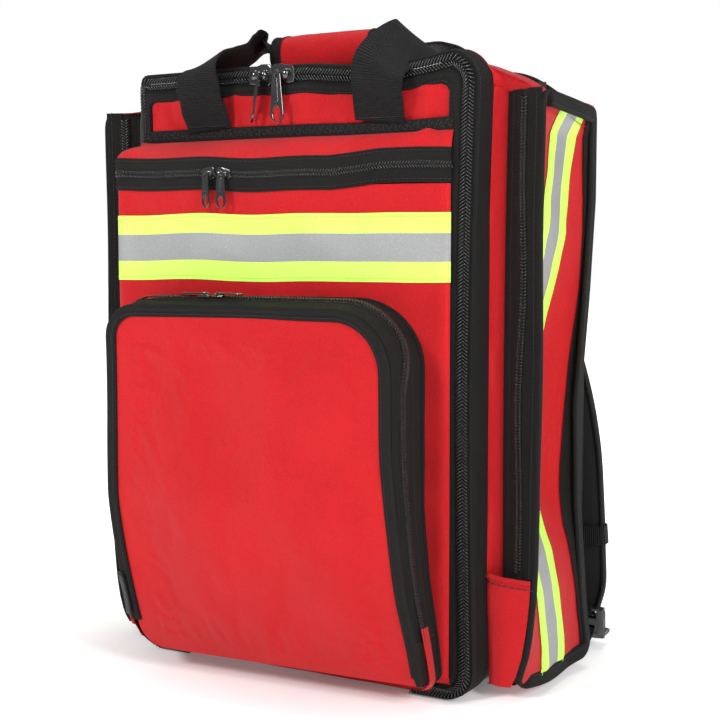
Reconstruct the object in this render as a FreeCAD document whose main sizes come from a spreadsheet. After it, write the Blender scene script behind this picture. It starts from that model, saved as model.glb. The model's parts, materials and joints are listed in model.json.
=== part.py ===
import FreeCAD, Part
import math
import os
import Sketcher
from FreeCAD import Placement, Rotation, Vector

# Trauma backpack: a soft pack with a clamshell lid that hinges at the floor, two pockets on the lid,
# a tall pocket on each side, a pair of carry handles and a two-strap back harness.
# Frame: +Z up, the lid faces -Y, the wearer's back is at +Y, left is -X.
# Origin: on the floor, at the centre of the base.

doc = FreeCAD.newDocument("trauma_backpack")
sheet = doc.addObject("Spreadsheet::Sheet", "dims")

# alias, value in mm (or degrees), description
DIMENSIONS = [
    ("zip_plane", -70.0, "front face of the main zipper, along Y"),
    ("hinge_plane", -66.2, "plane between the lid and the front frame, along Y"),
    ("back_face", 70.0, "rear face of the padded back, along Y"),
    ("shell_half", 152.0, "half width of the main compartment"),
    ("shell_top", 456.0, "height of the main compartment"),
    ("frame_top", 462.0, "height of the front frame"),
    ("shell_wall", 4.0, "padded wall of the main compartment"),
    ("shell_round", 26.0, "outer corner radius of the main compartment"),
    ("lid_half", 138.0, "half width of the lid panel"),
    ("lid_low", 10.4, "lower edge of the lid panel"),
    ("lid_high", 455.0, "upper edge of the lid panel"),
    ("lid_round", 26.0, "corner radius of the lid panel"),
    ("chain_half", 4.5, "width of one half of the main zipper chain"),
    ("zip_open", 112.0, "half length of the sewn hinge between the two zipper ends"),
    ("side_low", 18.0, "bottom of the side pockets"),
    ("side_high", 438.0, "top of the side pockets"),
    ("side_half", 191.0, "half width over the side pockets"),
    ("side_wall", 2.2, "wall of a side pocket"),
    ("side_front", -56.0, "front of the side pockets, along Y"),
    ("side_back", 58.0, "back of the side pockets, along Y"),
    ("bind_t", 3.2, "thickness of the edge binding"),
    ("bind_w", 12.0, "width of the edge binding"),
    ("tape_w", 50.0, "width of the reflective tape"),
    ("tape_t", 0.8, "thickness of the reflective tape"),
    ("upper_left", -107.8, "face of the upper pocket at its left end, along Y"),
    ("upper_right", -83.8, "face of the upper pocket at its right end, along Y"),
    ("upper_base", -72.4, "back of the upper pocket, along Y"),
    ("upper_top", 389.0, "mouth of the upper pocket"),
    ("upper_floor", 22.0, "floor of the upper pocket"),
    ("upper_ledge", 307.0, "where the upper pocket steps out over the lower one"),
    ("lower_half", 114.0, "half width of the lower pocket"),
    ("lower_low", 24.0, "bottom of the lower pocket"),
    ("lower_high", 296.0, "top of the lower pocket"),
    ("lower_round", 45.0, "upper corner radius of the lower pocket"),
    ("lower_back", -84.6, "back of the lower pocket, along Y"),
    ("lower_split", -111.0, "plane of the lower pocket's zipper, along Y"),
    ("lower_face", -138.0, "face of the lower pocket, along Y"),
    ("web_w", 38.0, "width of the handle webbing"),
    ("web_t", 2.4, "thickness of the handle webbing"),
    ("web_x", 75.5, "centre of each handle leg, along X"),
    ("grip_r", 16.5, "outer radius of the handle grip"),
    ("grip_hole", 14.2, "inner radius of the handle grip"),
    ("grip_len", 98.0, "length of the handle grip"),
    ("grip_y", -10.0, "centre of the handle grip, along Y"),
    ("grip_z", 482.5, "centre of the handle grip, along Z"),
    ("pad_t", 11.0, "thickness of the shoulder pads"),
    ("strap_y", 76.8, "front of the shoulder pads at their roots, along Y"),
    ("strap_z", 421.0, "top of the shoulder pads"),
    ("strap_tilt", 3.4, "lean of the shoulder pads, degrees"),
    ("strap_web", 25.0, "width of the adjuster webbing"),
    ("slider_len", 15.0, "length of a main zipper slider"),
    ("slider_w", 13.0, "width of a main zipper slider"),
    ("slider_h", 4.6, "height of a main zipper slider"),
    ("pull_len", 33.0, "length of a main zipper pull"),
    ("pull_t", 1.8, "thickness of a zipper pull"),
    ("main_rod", 3.2, "distance of a main pull's rod from its slider"),
    ("small_rod", 2.6, "distance of a pocket pull's rod from its slider"),
    ("small_len", 10.0, "length of a pocket zipper slider"),
    ("small_w", 8.0, "width of a pocket zipper slider"),
    ("small_h", 3.4, "height of a pocket zipper slider"),
    ("small_pull", 24.0, "length of an upper pocket zipper pull"),
    ("foam_t", 11.8, "thickness of the padded back"),
]


class Quantity:
    """A number together with the spreadsheet expression that gives it."""

    def __init__(self, value, expr):
        self.value = float(value)
        self.expr = expr

    @staticmethod
    def of(x):
        return x if isinstance(x, Quantity) else Quantity(x, repr(float(x)))

    def __add__(self, other):
        other = Quantity.of(other)
        return Quantity(self.value + other.value, f"({self.expr} + {other.expr})")

    __radd__ = __add__

    def __sub__(self, other):
        other = Quantity.of(other)
        return Quantity(self.value - other.value, f"({self.expr} - ({other.expr}))")

    def __rsub__(self, other):
        return Quantity.of(other) - self

    def __mul__(self, other):
        other = Quantity.of(other)
        return Quantity(self.value * other.value, f"({self.expr} * ({other.expr}))")

    __rmul__ = __mul__

    def __truediv__(self, other):
        other = Quantity.of(other)
        return Quantity(self.value / other.value, f"({self.expr} / ({other.expr}))")

    def __neg__(self):
        return Quantity(-self.value, f"(0 - ({self.expr}))")


class Dimensions:
    """Holds each spreadsheet dimension as an attribute named after its alias."""


dim = Dimensions()
for row, (alias, value, words) in enumerate(DIMENSIONS, 1):
    sheet.set(f"A{row}", words)
    sheet.set(f"B{row}", str(value))
    sheet.setAlias(f"B{row}", alias)
    setattr(dim, alias, Quantity(value, "dims." + alias))
doc.recompute()

GAP = 0.2  # clearance between neighbouring layers
SHELL_FRONT, SHELL_BACK = -62, 58  # main compartment, along Y


# ---------------------------------------------------------------- document helpers
def tie(obj, path, amount):
    """Sets an expression where the amount depends on the spreadsheet."""
    if "dims." in amount.expr:
        obj.setExpression(path, amount.expr)


def bind(obj, prop, amount):
    """Sets a property's value and ties it to the spreadsheet."""
    amount = Quantity.of(amount)
    setattr(obj, prop, amount.value)
    tie(obj, prop, amount)


def place(obj, x, y, z):
    """Moves an object and keeps its rotation."""
    base = [Quantity.of(x), Quantity.of(y), Quantity.of(z)]
    obj.Placement = Placement(Vector(*[q.value for q in base]), obj.Placement.Rotation)
    for axis, amount in zip("xyz", base):
        tie(obj, "Placement.Base." + axis, amount)


nodes = []
name_count = 0


def node(obj, label):
    """Marks a finished object as a sub-part: its Label names its file."""
    obj.Label = label
    nodes.append(obj)


def add(kind, stem, owner=doc):
    """Adds a numbered object to the document, or to a body."""
    global name_count
    name_count += 1
    create = doc.addObject if owner is doc else owner.newObject
    return create(kind, f"{stem}_{name_count:03d}")


# ---------------------------------------------------------------- primitives and combinations
def span(centre, size):
    """The two ends of a length laid out evenly about a centre."""
    centre = Quantity.of(centre)
    return centre - size / 2, centre + size / 2


def box(x_span, y_span, z_span):
    block = add("Part::Box", "block")
    for prop, (low, high) in zip(("Length", "Width", "Height"), (x_span, y_span, z_span)):
        bind(block, prop, Quantity.of(high) - low)
    place(block, x_span[0], y_span[0], z_span[0])
    return block


AXIS_TURNS = {
    "X": Rotation(Vector(0, 1, 0), 90),
    "Y": Rotation(Vector(1, 0, 0), -90),
    "Z": Rotation(),
}


def cylinder(radius, length, axis, x, y, z):
    rod = add("Part::Cylinder", "rod")
    bind(rod, "Radius", radius)
    bind(rod, "Height", length)
    rod.Placement = Placement(Vector(0, 0, 0), AXIS_TURNS[axis])
    place(rod, x, y, z)
    return rod


def cut(base, *tools):
    for tool in tools:
        result = add("Part::Cut", "cut")
        result.Base, result.Tool = base, tool
        base = result
    return base


def fuse(*pieces):
    joined = add("Part::MultiFuse", "join")
    joined.Shapes = list(pieces)
    return joined


def group(*pieces):
    """Separate solids of one node."""
    compound = add("Part::Compound", "group")
    compound.Links = list(pieces)
    return compound


def mirror(obj):
    """The same object on the other side of the plane x = 0."""
    mirrored = add("Part::Mirroring", "mirror")
    mirrored.Source = obj
    mirrored.Normal = Vector(1, 0, 0)
    mirrored.Base = Vector(0, 0, 0)
    return mirrored


def pair(obj, label):
    """One node that holds an object and its mirror image."""
    node(group(obj, mirror(obj)), label)


def left_and_right(obj, label):
    """Two nodes: the object on the right, its mirror image on the left."""
    node(mirror(obj), label + "_left")
    node(obj, label + "_right")


# ---------------------------------------------------------------- sketched bodies
def sketch_on(body, plane, offset=0):
    sketch = add("Sketcher::SketchObject", "sketch", body)
    support = [f for f in body.Origin.OriginFeatures if f.Role == plane + "_Plane"][0]
    sketch.AttachmentSupport = [(support, "")]
    sketch.MapMode = "FlatFace"
    sketch.AttachmentOffset = Placement(Vector(0, 0, offset), Rotation())
    return sketch


def add_polygon(sketch, points):
    """A closed polygon, each corner held by two dimensions tied to the spreadsheet."""
    points = [(Quantity.of(a), Quantity.of(b)) for a, b in points]
    corners = [Vector(a.value, b.value, 0) for a, b in points]
    first = sketch.GeometryCount
    total = len(points)
    for i in range(total):
        sketch.addGeometry(Part.LineSegment(corners[i], corners[(i + 1) % total]), False)
    for i in range(total):
        following = first + (i + 1) % total
        sketch.addConstraint(Sketcher.Constraint("Coincident", first + i, 2, following, 1))
    for i, point in enumerate(points):
        for kind, amount in zip(("DistanceX", "DistanceY"), point):
            rule = Sketcher.Constraint(kind, -1, 1, first + i, 1, amount.value)
            index = sketch.addConstraint(rule)
            tie(sketch, f"Constraints[{index}]", amount)


def pad_polygons(body, plane, outlines, length):
    sketch = sketch_on(body, plane)
    for outline in outlines:
        add_polygon(sketch, outline)
    pad = add("PartDesign::Pad", "pad", body)
    pad.Profile = sketch
    bind(pad, "Length", length)
    return pad


PLANE_AXES = {  # the two sketch coordinates of each plane, then its normal
    "XZ": ("x", "z", Vector(0, 1, 0)),
    "YZ": ("y", "z", Vector(1, 0, 0)),
    "XY": ("x", "y", Vector(0, 0, 1)),
}


def edges_at(shape, plane, corners):
    """Names of the edges along the plane's normal that pass through the given corners."""
    first, second, normal = PLANE_AXES[plane]
    found = []
    for number, edge in enumerate(shape.Edges, 1):
        start = edge.Vertexes[0].Point
        run = edge.Vertexes[-1].Point - start
        if run.Length < 1e-6 or abs(abs(run.normalize() * normal) - 1) > 1e-6:
            continue
        for a, b in corners:
            if abs(getattr(start, first) - a) < 0.01 and abs(getattr(start, second) - b) < 0.01:
                found.append(f"Edge{number}")
    return found


def prism(plane, outline, start, length, hole=None, rounds=(), hole_rounds=()):
    """A PartDesign body: a polygon (with an optional polygonal hole) padded along a normal.
    Plane XZ pads towards -Y from start, YZ towards +X, XY towards +Z.
    Rounds are pairs of a corner's index and its radius."""
    # Sketches are measured from 1 mm outside the lowest corner, so no dimension is negative.
    a0, b0 = [Quantity.of(min(ends, key=lambda q: Quantity.of(q).value)) - 1
              for ends in zip(*outline)]

    def shifted(points):
        return [(Quantity.of(a) - a0, Quantity.of(b) - b0) for a, b in points]

    loops = [shifted(outline)]
    if hole:
        loops.append(shifted(hole))
    body = add("PartDesign::Body", "body")
    tip = pad_polygons(body, plane, loops, length)
    doc.recompute()
    for loop, wanted in zip(loops, (rounds, hole_rounds)):
        by_radius = {}
        for index, radius in wanted:
            radius = Quantity.of(radius)
            by_radius.setdefault(radius.expr, (radius, []))[1].append(loop[index])
        for radius, corners in by_radius.values():
            fillet = add("PartDesign::Fillet", "round", body)
            names = edges_at(tip.Shape, plane, [(a.value, b.value) for a, b in corners])
            if len(names) != len(corners):
                raise SystemExit(f"found {len(names)} of {len(corners)} corners to round")
            fillet.Base = (tip, names)
            bind(fillet, "Radius", radius)
            body.Tip = fillet
            doc.recompute()
            tip = fillet
    base = {"XZ": (a0, start, b0), "YZ": (start, a0, b0), "XY": (a0, b0, start)}[plane]
    place(body, *base)
    return body


def rect(a_span, b_span):
    (a0, a1), (b0, b1) = a_span, b_span
    return [(a0, b0), (a1, b0), (a1, b1), (a0, b1)]


def four_rounds(low, high=None):
    """Rounds for a rect: the first two corners, then the last two."""
    high = high or low
    return [(0, low), (1, low), (2, high), (3, high)]


def panel(half, low, high, radius, top_radius=None):
    """An upright rounded rectangle, symmetric about x = 0, for plate and frame."""
    return [Quantity.of(q) for q in (half, low, high, radius, top_radius or radius)]


def grown(shape, by):
    """A panel offset outwards on all sides, its radii with it."""
    half, low, high, radius, top_radius = shape
    return panel(half + by, low - by, high + by, radius + by, top_radius + by)


def plate(shape, y0, y1):
    """A panel filled between y0 and y1."""
    half, low, high, *radii = shape
    outline = rect((-half, half), (low, high))
    return prism("XZ", outline, y1, Quantity.of(y1) - y0, rounds=four_rounds(*radii))


def frame(outer, inner, y0, y1):
    """The ring between two panels, from y0 to y1."""
    half, low, high, *radii = outer
    hole_half, hole_low, hole_high, *hole_radii = inner
    return prism(
        "XZ", rect((-half, half), (low, high)), y1, Quantity.of(y1) - y0,
        hole=rect((-hole_half, hole_half), (hole_low, hole_high)),
        rounds=four_rounds(*radii), hole_rounds=four_rounds(*hole_radii),
    )


def strip(path, thickness):
    """Offsets a path by half a thickness each way, giving a closed outline."""
    path = [(Quantity.of(a), Quantity.of(b)) for a, b in path]
    one_side, other_side = [], []
    for i, (a, b) in enumerate(path):
        before = path[max(i - 1, 0)]
        after = path[min(i + 1, len(path) - 1)]
        da = after[0].value - before[0].value
        db = after[1].value - before[1].value
        length = (da * da + db * db) ** 0.5
        shift_a = thickness * round(-db / length / 2, 5)
        shift_b = thickness * round(da / length / 2, 5)
        one_side.append((a + shift_a, b + shift_b))
        other_side.append((a - shift_a, b - shift_b))
    return one_side + other_side[::-1]


def loft_body(sections, hollow=None):
    """A body lofted along X between flat (x, outline) sections, less an optional hollow."""
    body = add("PartDesign::Body", "body")
    nearest = min(Quantity.of(y).value for _, outline in sections for y, _ in outline)
    shift_y = nearest - 5  # keeps every sketch dimension positive

    def add_loft(kind, stations):
        sketches = []
        for x, outline in stations:
            sketch = sketch_on(body, "YZ", x)
            add_polygon(sketch, [(y - Quantity.of(shift_y), z) for y, z in outline])
            sketches.append(sketch)
        doc.recompute()
        loft = add(kind, "loft", body)
        loft.Profile = sketches[0]
        loft.Sections = sketches[1:]
        loft.Ruled = True
        doc.recompute()
        body.Tip = loft

    add_loft("PartDesign::AdditiveLoft", sections)
    if hollow:
        add_loft("PartDesign::SubtractiveLoft", hollow)
    place(body, 0, shift_y, 0)
    return body


# ---------------------------------------------------------------- main compartment
shell = panel(dim.shell_half, 0, dim.shell_top, dim.shell_round)
node(frame(shell, grown(shell, -dim.shell_wall), SHELL_FRONT, SHELL_BACK), "main_shell")

frame_outer = panel(dim.shell_half, 0, dim.frame_top, dim.shell_round)
frame_inner = panel(136, 12, dim.frame_top - 12, 20)
node(frame(frame_outer, frame_inner, dim.hinge_plane + GAP, SHELL_FRONT - GAP), "front_frame")

# The two halves of the main zipper run round the lid, open at the hinge.
lid = panel(dim.lid_half, dim.lid_low, dim.lid_high, dim.lid_round)
LID_CHAIN_GAP = 0.3  # lid panel to the lid's half of the chain
PACK_CHAIN_GAP = 0.7  # both clearances between the lid panel and the pack's half


def hinge_gap(y0, y1, top):
    """A cutter for the stretch between the two zipper ends."""
    return box((-dim.zip_open, dim.zip_open), (y0, y1), (-2, top))


def zip_half(inset, back):
    inner = grown(lid, inset)
    chain = frame(grown(inner, dim.chain_half), inner, dim.zip_plane, back)
    return cut(chain, hinge_gap(dim.zip_plane - 2, dim.hinge_plane + 2, dim.lid_low))


node(zip_half(PACK_CHAIN_GAP + dim.chain_half, dim.hinge_plane), "main_zip_pack_half")
node(zip_half(LID_CHAIN_GAP, dim.hinge_plane - GAP), "main_zip_lid_half")
node(
    box((1 - dim.zip_open, dim.zip_open - 1), (dim.zip_plane + 1, dim.hinge_plane),
        (0.6, dim.lid_low - 0.8)),
    "lid_hinge_strip",
)

node(box((-128, 128), (-60, 52), (dim.shell_wall + 1, dim.shell_wall + 4)), "base_board")
node(plate(panel(188, 10, 454, 34), dim.back_face - dim.foam_t, dim.back_face), "back_panel")
node(plate(panel(138, 12, 444, 15), 53.5, 55.5), "frame_sheet")

# Pads on the rear face: label, panel, distance of their rear from the back face
BACK_PADS = [
    ("spine_pad", panel(36, 74, 395, 18), 10),
    ("lumbar_pad", panel(112, 24, 66, 16), 11),
    ("harness_yoke", panel(118, 426, 450, 6), 3.2),
]
for label, shape, reach in BACK_PADS:
    node(plate(shape, dim.back_face + GAP, dim.back_face + reach), label)

ANCHOR_OUTLINE = [(144, 34), (150, 22), (176, 14), (184, 14), (184, 54), (150, 54)]  # x, z
ANCHOR_T = 2.5
pair(prism("XZ", ANCHOR_OUTLINE, dim.back_face + GAP + ANCHOR_T, ANCHOR_T), "strap_anchors")

DIVIDER_T = 6
dividers = [box((-146, 146), (-58, 42), (low, low + DIVIDER_T)) for low in (160, 310)]
node(group(*dividers), "inner_dividers")


def mesh_pocket(half, y0, y1, low, high):
    """A thin box, open at the top."""
    wall = 1.2
    outer = box((-half, half), (y0, y1), (low, high))
    inner = box((wall - half, half - wall), (y0 + wall, y1 - wall), (low + wall, high + 1))
    return cut(outer, inner)


node(mesh_pocket(120, 44, 53, 326, 440), "inner_mesh_pocket")
lid_inside = dim.hinge_plane
node(mesh_pocket(112, lid_inside + GAP, lid_inside + 8, 62, 300), "lid_mesh_pocket")

# ---------------------------------------------------------------- side pockets
SIDE_X = dim.shell_half + 0.4  # inner side of a pocket
SIDE_ZIP_X = 178
SIDE_ZIP_LOW, SIDE_ZIP_HIGH = 97, 443
side_depth = (dim.side_front, dim.side_back)


def side_pocket():
    """A hollow box open towards the shell, with a slot in its front for the zipper."""
    wall = dim.side_wall
    front, back = side_depth
    outline = rect((SIDE_X, dim.side_half), side_depth)
    height = dim.side_high - dim.side_low
    outer = prism("XY", outline, dim.side_low, height, rounds=[(1, 8), (2, 8)])
    inner = box(
        (dim.shell_half - 1, dim.side_half - wall), (front + wall, back - wall),
        (dim.side_low + wall, dim.side_high - wall),
    )
    slot = box(span(SIDE_ZIP_X, 10), (front - 2, front + wall + 1), (100, 440))
    return cut(outer, inner, slot)


def side_binding():
    """A rounded ring on the outer face, a little larger than the pocket."""
    front, back = dim.side_front - 2, dim.side_back + 2
    low, high = dim.side_low - 2.5, dim.side_high + 2.5
    width = dim.bind_w
    return prism(
        "YZ", rect((front, back), (low, high)), dim.side_half + GAP, dim.bind_t,
        hole=rect((front + width, back - width), (low + width, high - width)),
        rounds=four_rounds(14), hole_rounds=four_rounds(6),
    )


def side_tape():
    face = dim.side_half + GAP
    return box((face, face + dim.tape_t), span(2, dim.tape_w),
               (dim.side_low + dim.bind_w, dim.side_high - dim.bind_w))


def side_zip():
    front = dim.side_front
    tape = box(span(SIDE_ZIP_X, 24), (front - 2.8, front - GAP), (SIDE_ZIP_LOW, SIDE_ZIP_HIGH))
    length = SIDE_ZIP_HIGH - SIDE_ZIP_LOW
    coil = cylinder(1.8, length, "Z", SIDE_ZIP_X, front - 2.9, SIDE_ZIP_LOW)
    return fuse(tape, coil)


def zip_hem():
    """A box below the zipper, open at its top and back."""
    front, low = dim.side_front, dim.side_low
    outer = box((155.5, 190), (front - 13.2, front - 0.4), (low + 0.2, 94))
    inner = box((156.9, 188.6), (front - 12, front + 1), (low + 1.6, 95))
    return cut(outer, inner)


def top_shoulder():
    """A wedge over the side pocket, sloping down from the shell."""
    low = dim.side_high + 3
    outline = [(SIDE_X, low), (189, low), (189, low + 2), (SIDE_X, dim.shell_top + 1)]
    return prism("XZ", outline, dim.side_back, dim.side_back - dim.side_front)


def side_slider():
    front = dim.side_front
    slab = prism("XZ", rect(span(SIDE_ZIP_X, 9), (66, 78)), front - 5.2, 3.4,
                 rounds=four_rounds(2.2))
    stub = prism("XZ", rect(span(SIDE_ZIP_X, 4), (52, 70)), front - 8.4, 1.6,
                 rounds=four_rounds(1.6))
    neck = box(span(SIDE_ZIP_X, 3.2), (front - 9, front - 8), (66.5, 69.5))
    return fuse(slab, stub, neck)


left_and_right(side_pocket(), "side_pocket")
pair(side_binding(), "side_bindings")
pair(side_tape(), "side_reflective_tapes")
pair(side_zip(), "side_zips")
pair(zip_hem(), "side_zip_hems")
pair(top_shoulder(), "top_shoulders")
left_and_right(side_slider(), "side_slider")

# ---------------------------------------------------------------- lid
front = dim.zip_plane
node(plate(lid, front + GAP, front + 1.8), "lid_panel")
node(plate(grown(lid, -4), front + 2, dim.hinge_plane - GAP), "lid_stiffener")
lid_binding = frame(lid, grown(lid, -9), front - 2.2, front)
node(cut(lid_binding, hinge_gap(front - 4, front + 2, dim.lid_low + 12)), "lid_binding")
node(box((-128, 128), (front - 3.6, front), (412, 422)), "handle_anchor_band")

# ---------------------------------------------------------------- upper pocket
UPPER_X = (-140, 130)  # left and right ends
UPPER_TRIM_X = (-139, 129)  # ends of the tapes and the flap
UPPER_WALL = 2
UPPER_LINING = 1.8  # wall at the back and over the lower pocket
# Face at the floor, face below the ledge, face above the ledge, all along Y
UPPER_ENDS = [(-82, -84, dim.upper_left), (-80, -80, dim.upper_right)]


def face_y(x):
    """The upper pocket's face at x, along Y: it stands out more at its left end."""
    part = (x - UPPER_X[0]) / (UPPER_X[1] - UPPER_X[0])
    return dim.upper_left + (dim.upper_right - dim.upper_left) * part


def stepped_section(back, floor_y, step_y, face, floor, step_z, ledge, top):
    """The pocket's profile (y, z), stepping outwards at the ledge."""
    return [
        (back, floor), (floor_y, floor), (step_y, step_z), (face, ledge), (face, top), (back, top),
    ]


def upper_pocket():
    outside, inside = [], []
    for x, inward, (floor_y, step_y, face) in zip(UPPER_X, (1, -1), UPPER_ENDS):
        outside.append((x, stepped_section(
            dim.upper_base, floor_y, step_y, face,
            dim.upper_floor, 297.5, dim.upper_ledge, dim.upper_top,
        )))
        inside.append((x + inward * UPPER_WALL, stepped_section(
            dim.upper_base - UPPER_LINING, floor_y + UPPER_LINING, step_y + UPPER_LINING,
            face + UPPER_WALL, dim.upper_floor + UPPER_WALL, 299,
            dim.upper_ledge + 1, dim.upper_top + 2,  # runs out through the mouth
        )))
    return loft_body(outside, inside)


def on_face(thickness, low, height):
    """A strip along the slanted face."""
    x0, x1 = UPPER_TRIM_X
    far = GAP + thickness
    outline = [
        (x0, face_y(x0) - GAP), (x0, face_y(x0) - far), (x1, face_y(x1) - far), (x1, face_y(x1) - GAP),
    ]
    return prism("XY", outline, low, height)


def flap_section(y):
    """A sloping cover with a lip that hangs in front of the face at y; points are (y, z)."""
    back = dim.upper_base - UPPER_LINING
    return [(back, 411.6), (y - 2, 400.6), (y - 2, 391.2), (y, 391.2), (y, 398.9), (back, 409.4)]


node(upper_pocket(), "upper_pocket")
node(on_face(1.7, 374.5, 14), "upper_zip_lower_tape")
node(on_face(dim.tape_t, 308, dim.tape_w), "front_reflective_tape")
node(loft_body([(x, flap_section(face_y(x))) for x in UPPER_TRIM_X]), "upper_pocket_flap")

# ---------------------------------------------------------------- lower pocket
LOWER_ROUND = 12  # lower corners
LOWER_WALL = 2.6
COIL_STANDOUT = 4  # zipper beyond the pocket's outline
lower = panel(dim.lower_half, dim.lower_low, dim.lower_high, LOWER_ROUND, dim.lower_round)
split = dim.lower_split


def lower_ring(standout, y0, y1):
    """A ring round the pocket that stands out at its sides and top, but not at its bottom."""
    outer = panel(dim.lower_half + standout, dim.lower_low, dim.lower_high + standout,
                  LOWER_ROUND, dim.lower_round + standout)
    inner = panel(dim.lower_half - 0.6, dim.lower_low + LOWER_WALL, dim.lower_high - 0.6,
                  LOWER_ROUND - LOWER_WALL, dim.lower_round - 0.6)
    return frame(outer, inner, y0, y1)


node(lower_ring(2, split + 2.8, dim.lower_back), "lower_pocket_gusset")
lower_coil = lower_ring(COIL_STANDOUT, split + 0.4, split + 2.6)
coil_gap = box((-140, 140), (split - 4, split + 6), (0, 58))
node(cut(lower_coil, coil_gap), "lower_pocket_zip")
node(plate(lower, dim.lower_face, dim.lower_face + 3), "lower_pocket_face")
door_tape = frame(lower, grown(lower, -LOWER_WALL), dim.lower_face + 3 + GAP, split - GAP)
node(door_tape, "lower_pocket_door_tape")
tag_x = (-dim.lower_half - 2.4, -dim.lower_half - GAP)
node(box(tag_x, (dim.lower_face + 2, dim.lower_face + 14), (46, 78)), "side_tag")

# ---------------------------------------------------------------- carry handles
# Centre lines of the webbing, (y, z), from the pack up to the bar
FRONT_HANDLE = [
    (dim.zip_plane - 7.4, 415), (dim.zip_plane - 12, 420), (dim.zip_plane - 19, 433),
    (dim.zip_plane - 21, 449), (dim.zip_plane - 18, 463), (dim.zip_plane - 9, 475),
    (-62, dim.grip_z - 0.6), (-44, dim.grip_z + 2), (dim.grip_y - 13.4, dim.grip_z),
]
REAR_HANDLE = [
    (75.6, 441), (77.2, 454), (76, 466), (69.5, 477), (58, 484), (45, 486), (30, 484.5),
]


def handle(path, bar_y):
    """Two legs of webbing joined by a flat bar at the end of the path."""
    legs = [
        prism("YZ", strip(path, dim.web_t), x - dim.web_w / 2, dim.web_w)
        for x in (dim.web_x, -dim.web_x)
    ]
    bar_x = span(0, 2 * dim.web_x + dim.web_w)
    return fuse(*legs, box(bar_x, bar_y, span(path[-1][1], dim.web_t)))


def handle_grip():
    """A tube along X round the front handle's bar."""
    overcut = 2
    start = -dim.grip_len / 2
    at = (dim.grip_y, dim.grip_z)
    outer = cylinder(dim.grip_r, dim.grip_len, "X", start, *at)
    bore = cylinder(dim.grip_hole, dim.grip_len + 2 * overcut, "X", start - overcut, *at)
    return cut(outer, bore)


node(handle(FRONT_HANDLE, span(dim.grip_y, 27.2)), "front_handle_strap")
node(handle_grip(), "handle_grip")
node(handle(REAR_HANDLE, (8.6, 31)), "rear_handle_strap")

# ---------------------------------------------------------------- shoulder harness
# The pads lean away from the back at their lower ends. Leaned pieces are laid out in the
# right pad's own frame: x as in the pack, y out from the back, z up from the root.
# z, x of the inner edge, x of the outer edge
PAD_STATIONS = [
    (0, 44, 104), (-50, 48, 112), (-100, 68, 134), (-150, 92, 160), (-200, 108, 176),
    (-250, 117, 185), (-300, 122, 188), (-340, 126, 188), (-368, 134, 184), (-386, 144, 176),
]
BUCKLE_X = 160
SKETCH_LIFT = 400  # keeps the sketch dimensions positive
lean = Rotation(Vector(1, 0, 0), dim.strap_tilt.value)
pad_root = Vector(0, dim.strap_y.value, dim.strap_z.value)


def lean_point(x, y, z):
    """A point of the pad's frame in the pack's frame."""
    return pad_root + lean.multVec(Vector(x, y, z))


def leaned(inner_edge, outer_edge, near, far):
    """A flat piece between two edges (x, z), from near to far out from the back."""
    outline = [(x, z + SKETCH_LIFT) for x, z in inner_edge + outer_edge[::-1]]
    body = add("PartDesign::Body", "body")
    far = Quantity.of(far)
    pad_polygons(body, "XZ", [outline], far - near)
    body.Placement = Placement(lean_point(0, far.value, -SKETCH_LIFT), lean)
    return body


def leaned_box(x_span, y_span, z_span):
    block = box(x_span, y_span, z_span)
    base = block.Placement.Base
    block.Placement = Placement(lean_point(base.x, base.y, base.z), lean)
    return block


def shoulder_pad():
    inner_edge = [(inner, z) for z, inner, _ in PAD_STATIONS]
    outer_edge = [(outer, z) for z, _, outer in PAD_STATIONS]
    return leaned(inner_edge, outer_edge, 0, dim.pad_t)


def pad_webbing():
    """Webbing down the middle of the pad, from the second station on."""
    half = dim.strap_web / 2
    middle = [((inner + outer) / 2, z) for z, inner, outer in PAD_STATIONS[1:]]
    edges = [(x - half, z) for x, z in middle], [(x + half, z) for x, z in middle]
    return leaned(*edges, dim.pad_t + GAP, dim.pad_t + 1.8)


def ladder_buckle():
    """A plate with two slots and a lip along its lower edge."""
    base = leaned_box(span(BUCKLE_X, 36), (3, 9), (-413, -387))
    low_slot = leaned_box(span(BUCKLE_X, 26), (0, 12), (-408.5, -403.5))
    high_slot = leaned_box(span(BUCKLE_X, 26), (0, 12), (-397.5, -391.5))
    lip = leaned_box(span(BUCKLE_X, 32), (9, 22), (-413, -409.6))
    return cut(fuse(base, lip), low_slot, high_slot)


def adjuster_webbing():
    """Webbing from the strap anchor up to the buckle."""
    end = lean_point(0, 0.4, -406)
    path = [
        (76.4, 40), (79, 31), (86, 18), (94, 10.5), (end.y - 1.6, end.z - 3), (end.y, end.z + 12),
    ]
    return prism("YZ", strip(path, 1.6), BUCKLE_X - dim.strap_web / 2, dim.strap_web)


for build in (shoulder_pad, pad_webbing, ladder_buckle, adjuster_webbing):
    left_and_right(build(), build.__name__)

# ---------------------------------------------------------------- zipper sliders and pulls
ROD_R = 0.9
BORE_R = 1.2  # hole in a pull's eye
ROD_DROP = 2  # rod below the middle of a front slider
PULL_TOP_HALF = 2.2  # half width of a hanging pull at its eye


def slider(x, y, z, length, width, height, reach):
    """A slider on an upright face at y, with two posts and a rod along X for the pull."""
    rod_y = y - height - reach
    slab = prism("XZ", rect(span(x, length), span(z, width)), y, height, rounds=four_rounds(2.4))
    posts = [
        box(x_span, (rod_y - 1.2, y - height + 0.5), (z - 3.5, z + 0.5))
        for x_span in ((x - 4, x - 2.6), (x + 2.6, x + 4))
    ]
    return fuse(slab, *posts, cylinder(ROD_R, 6.6, "X", x - 3.3, rod_y, z - ROD_DROP))


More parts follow.
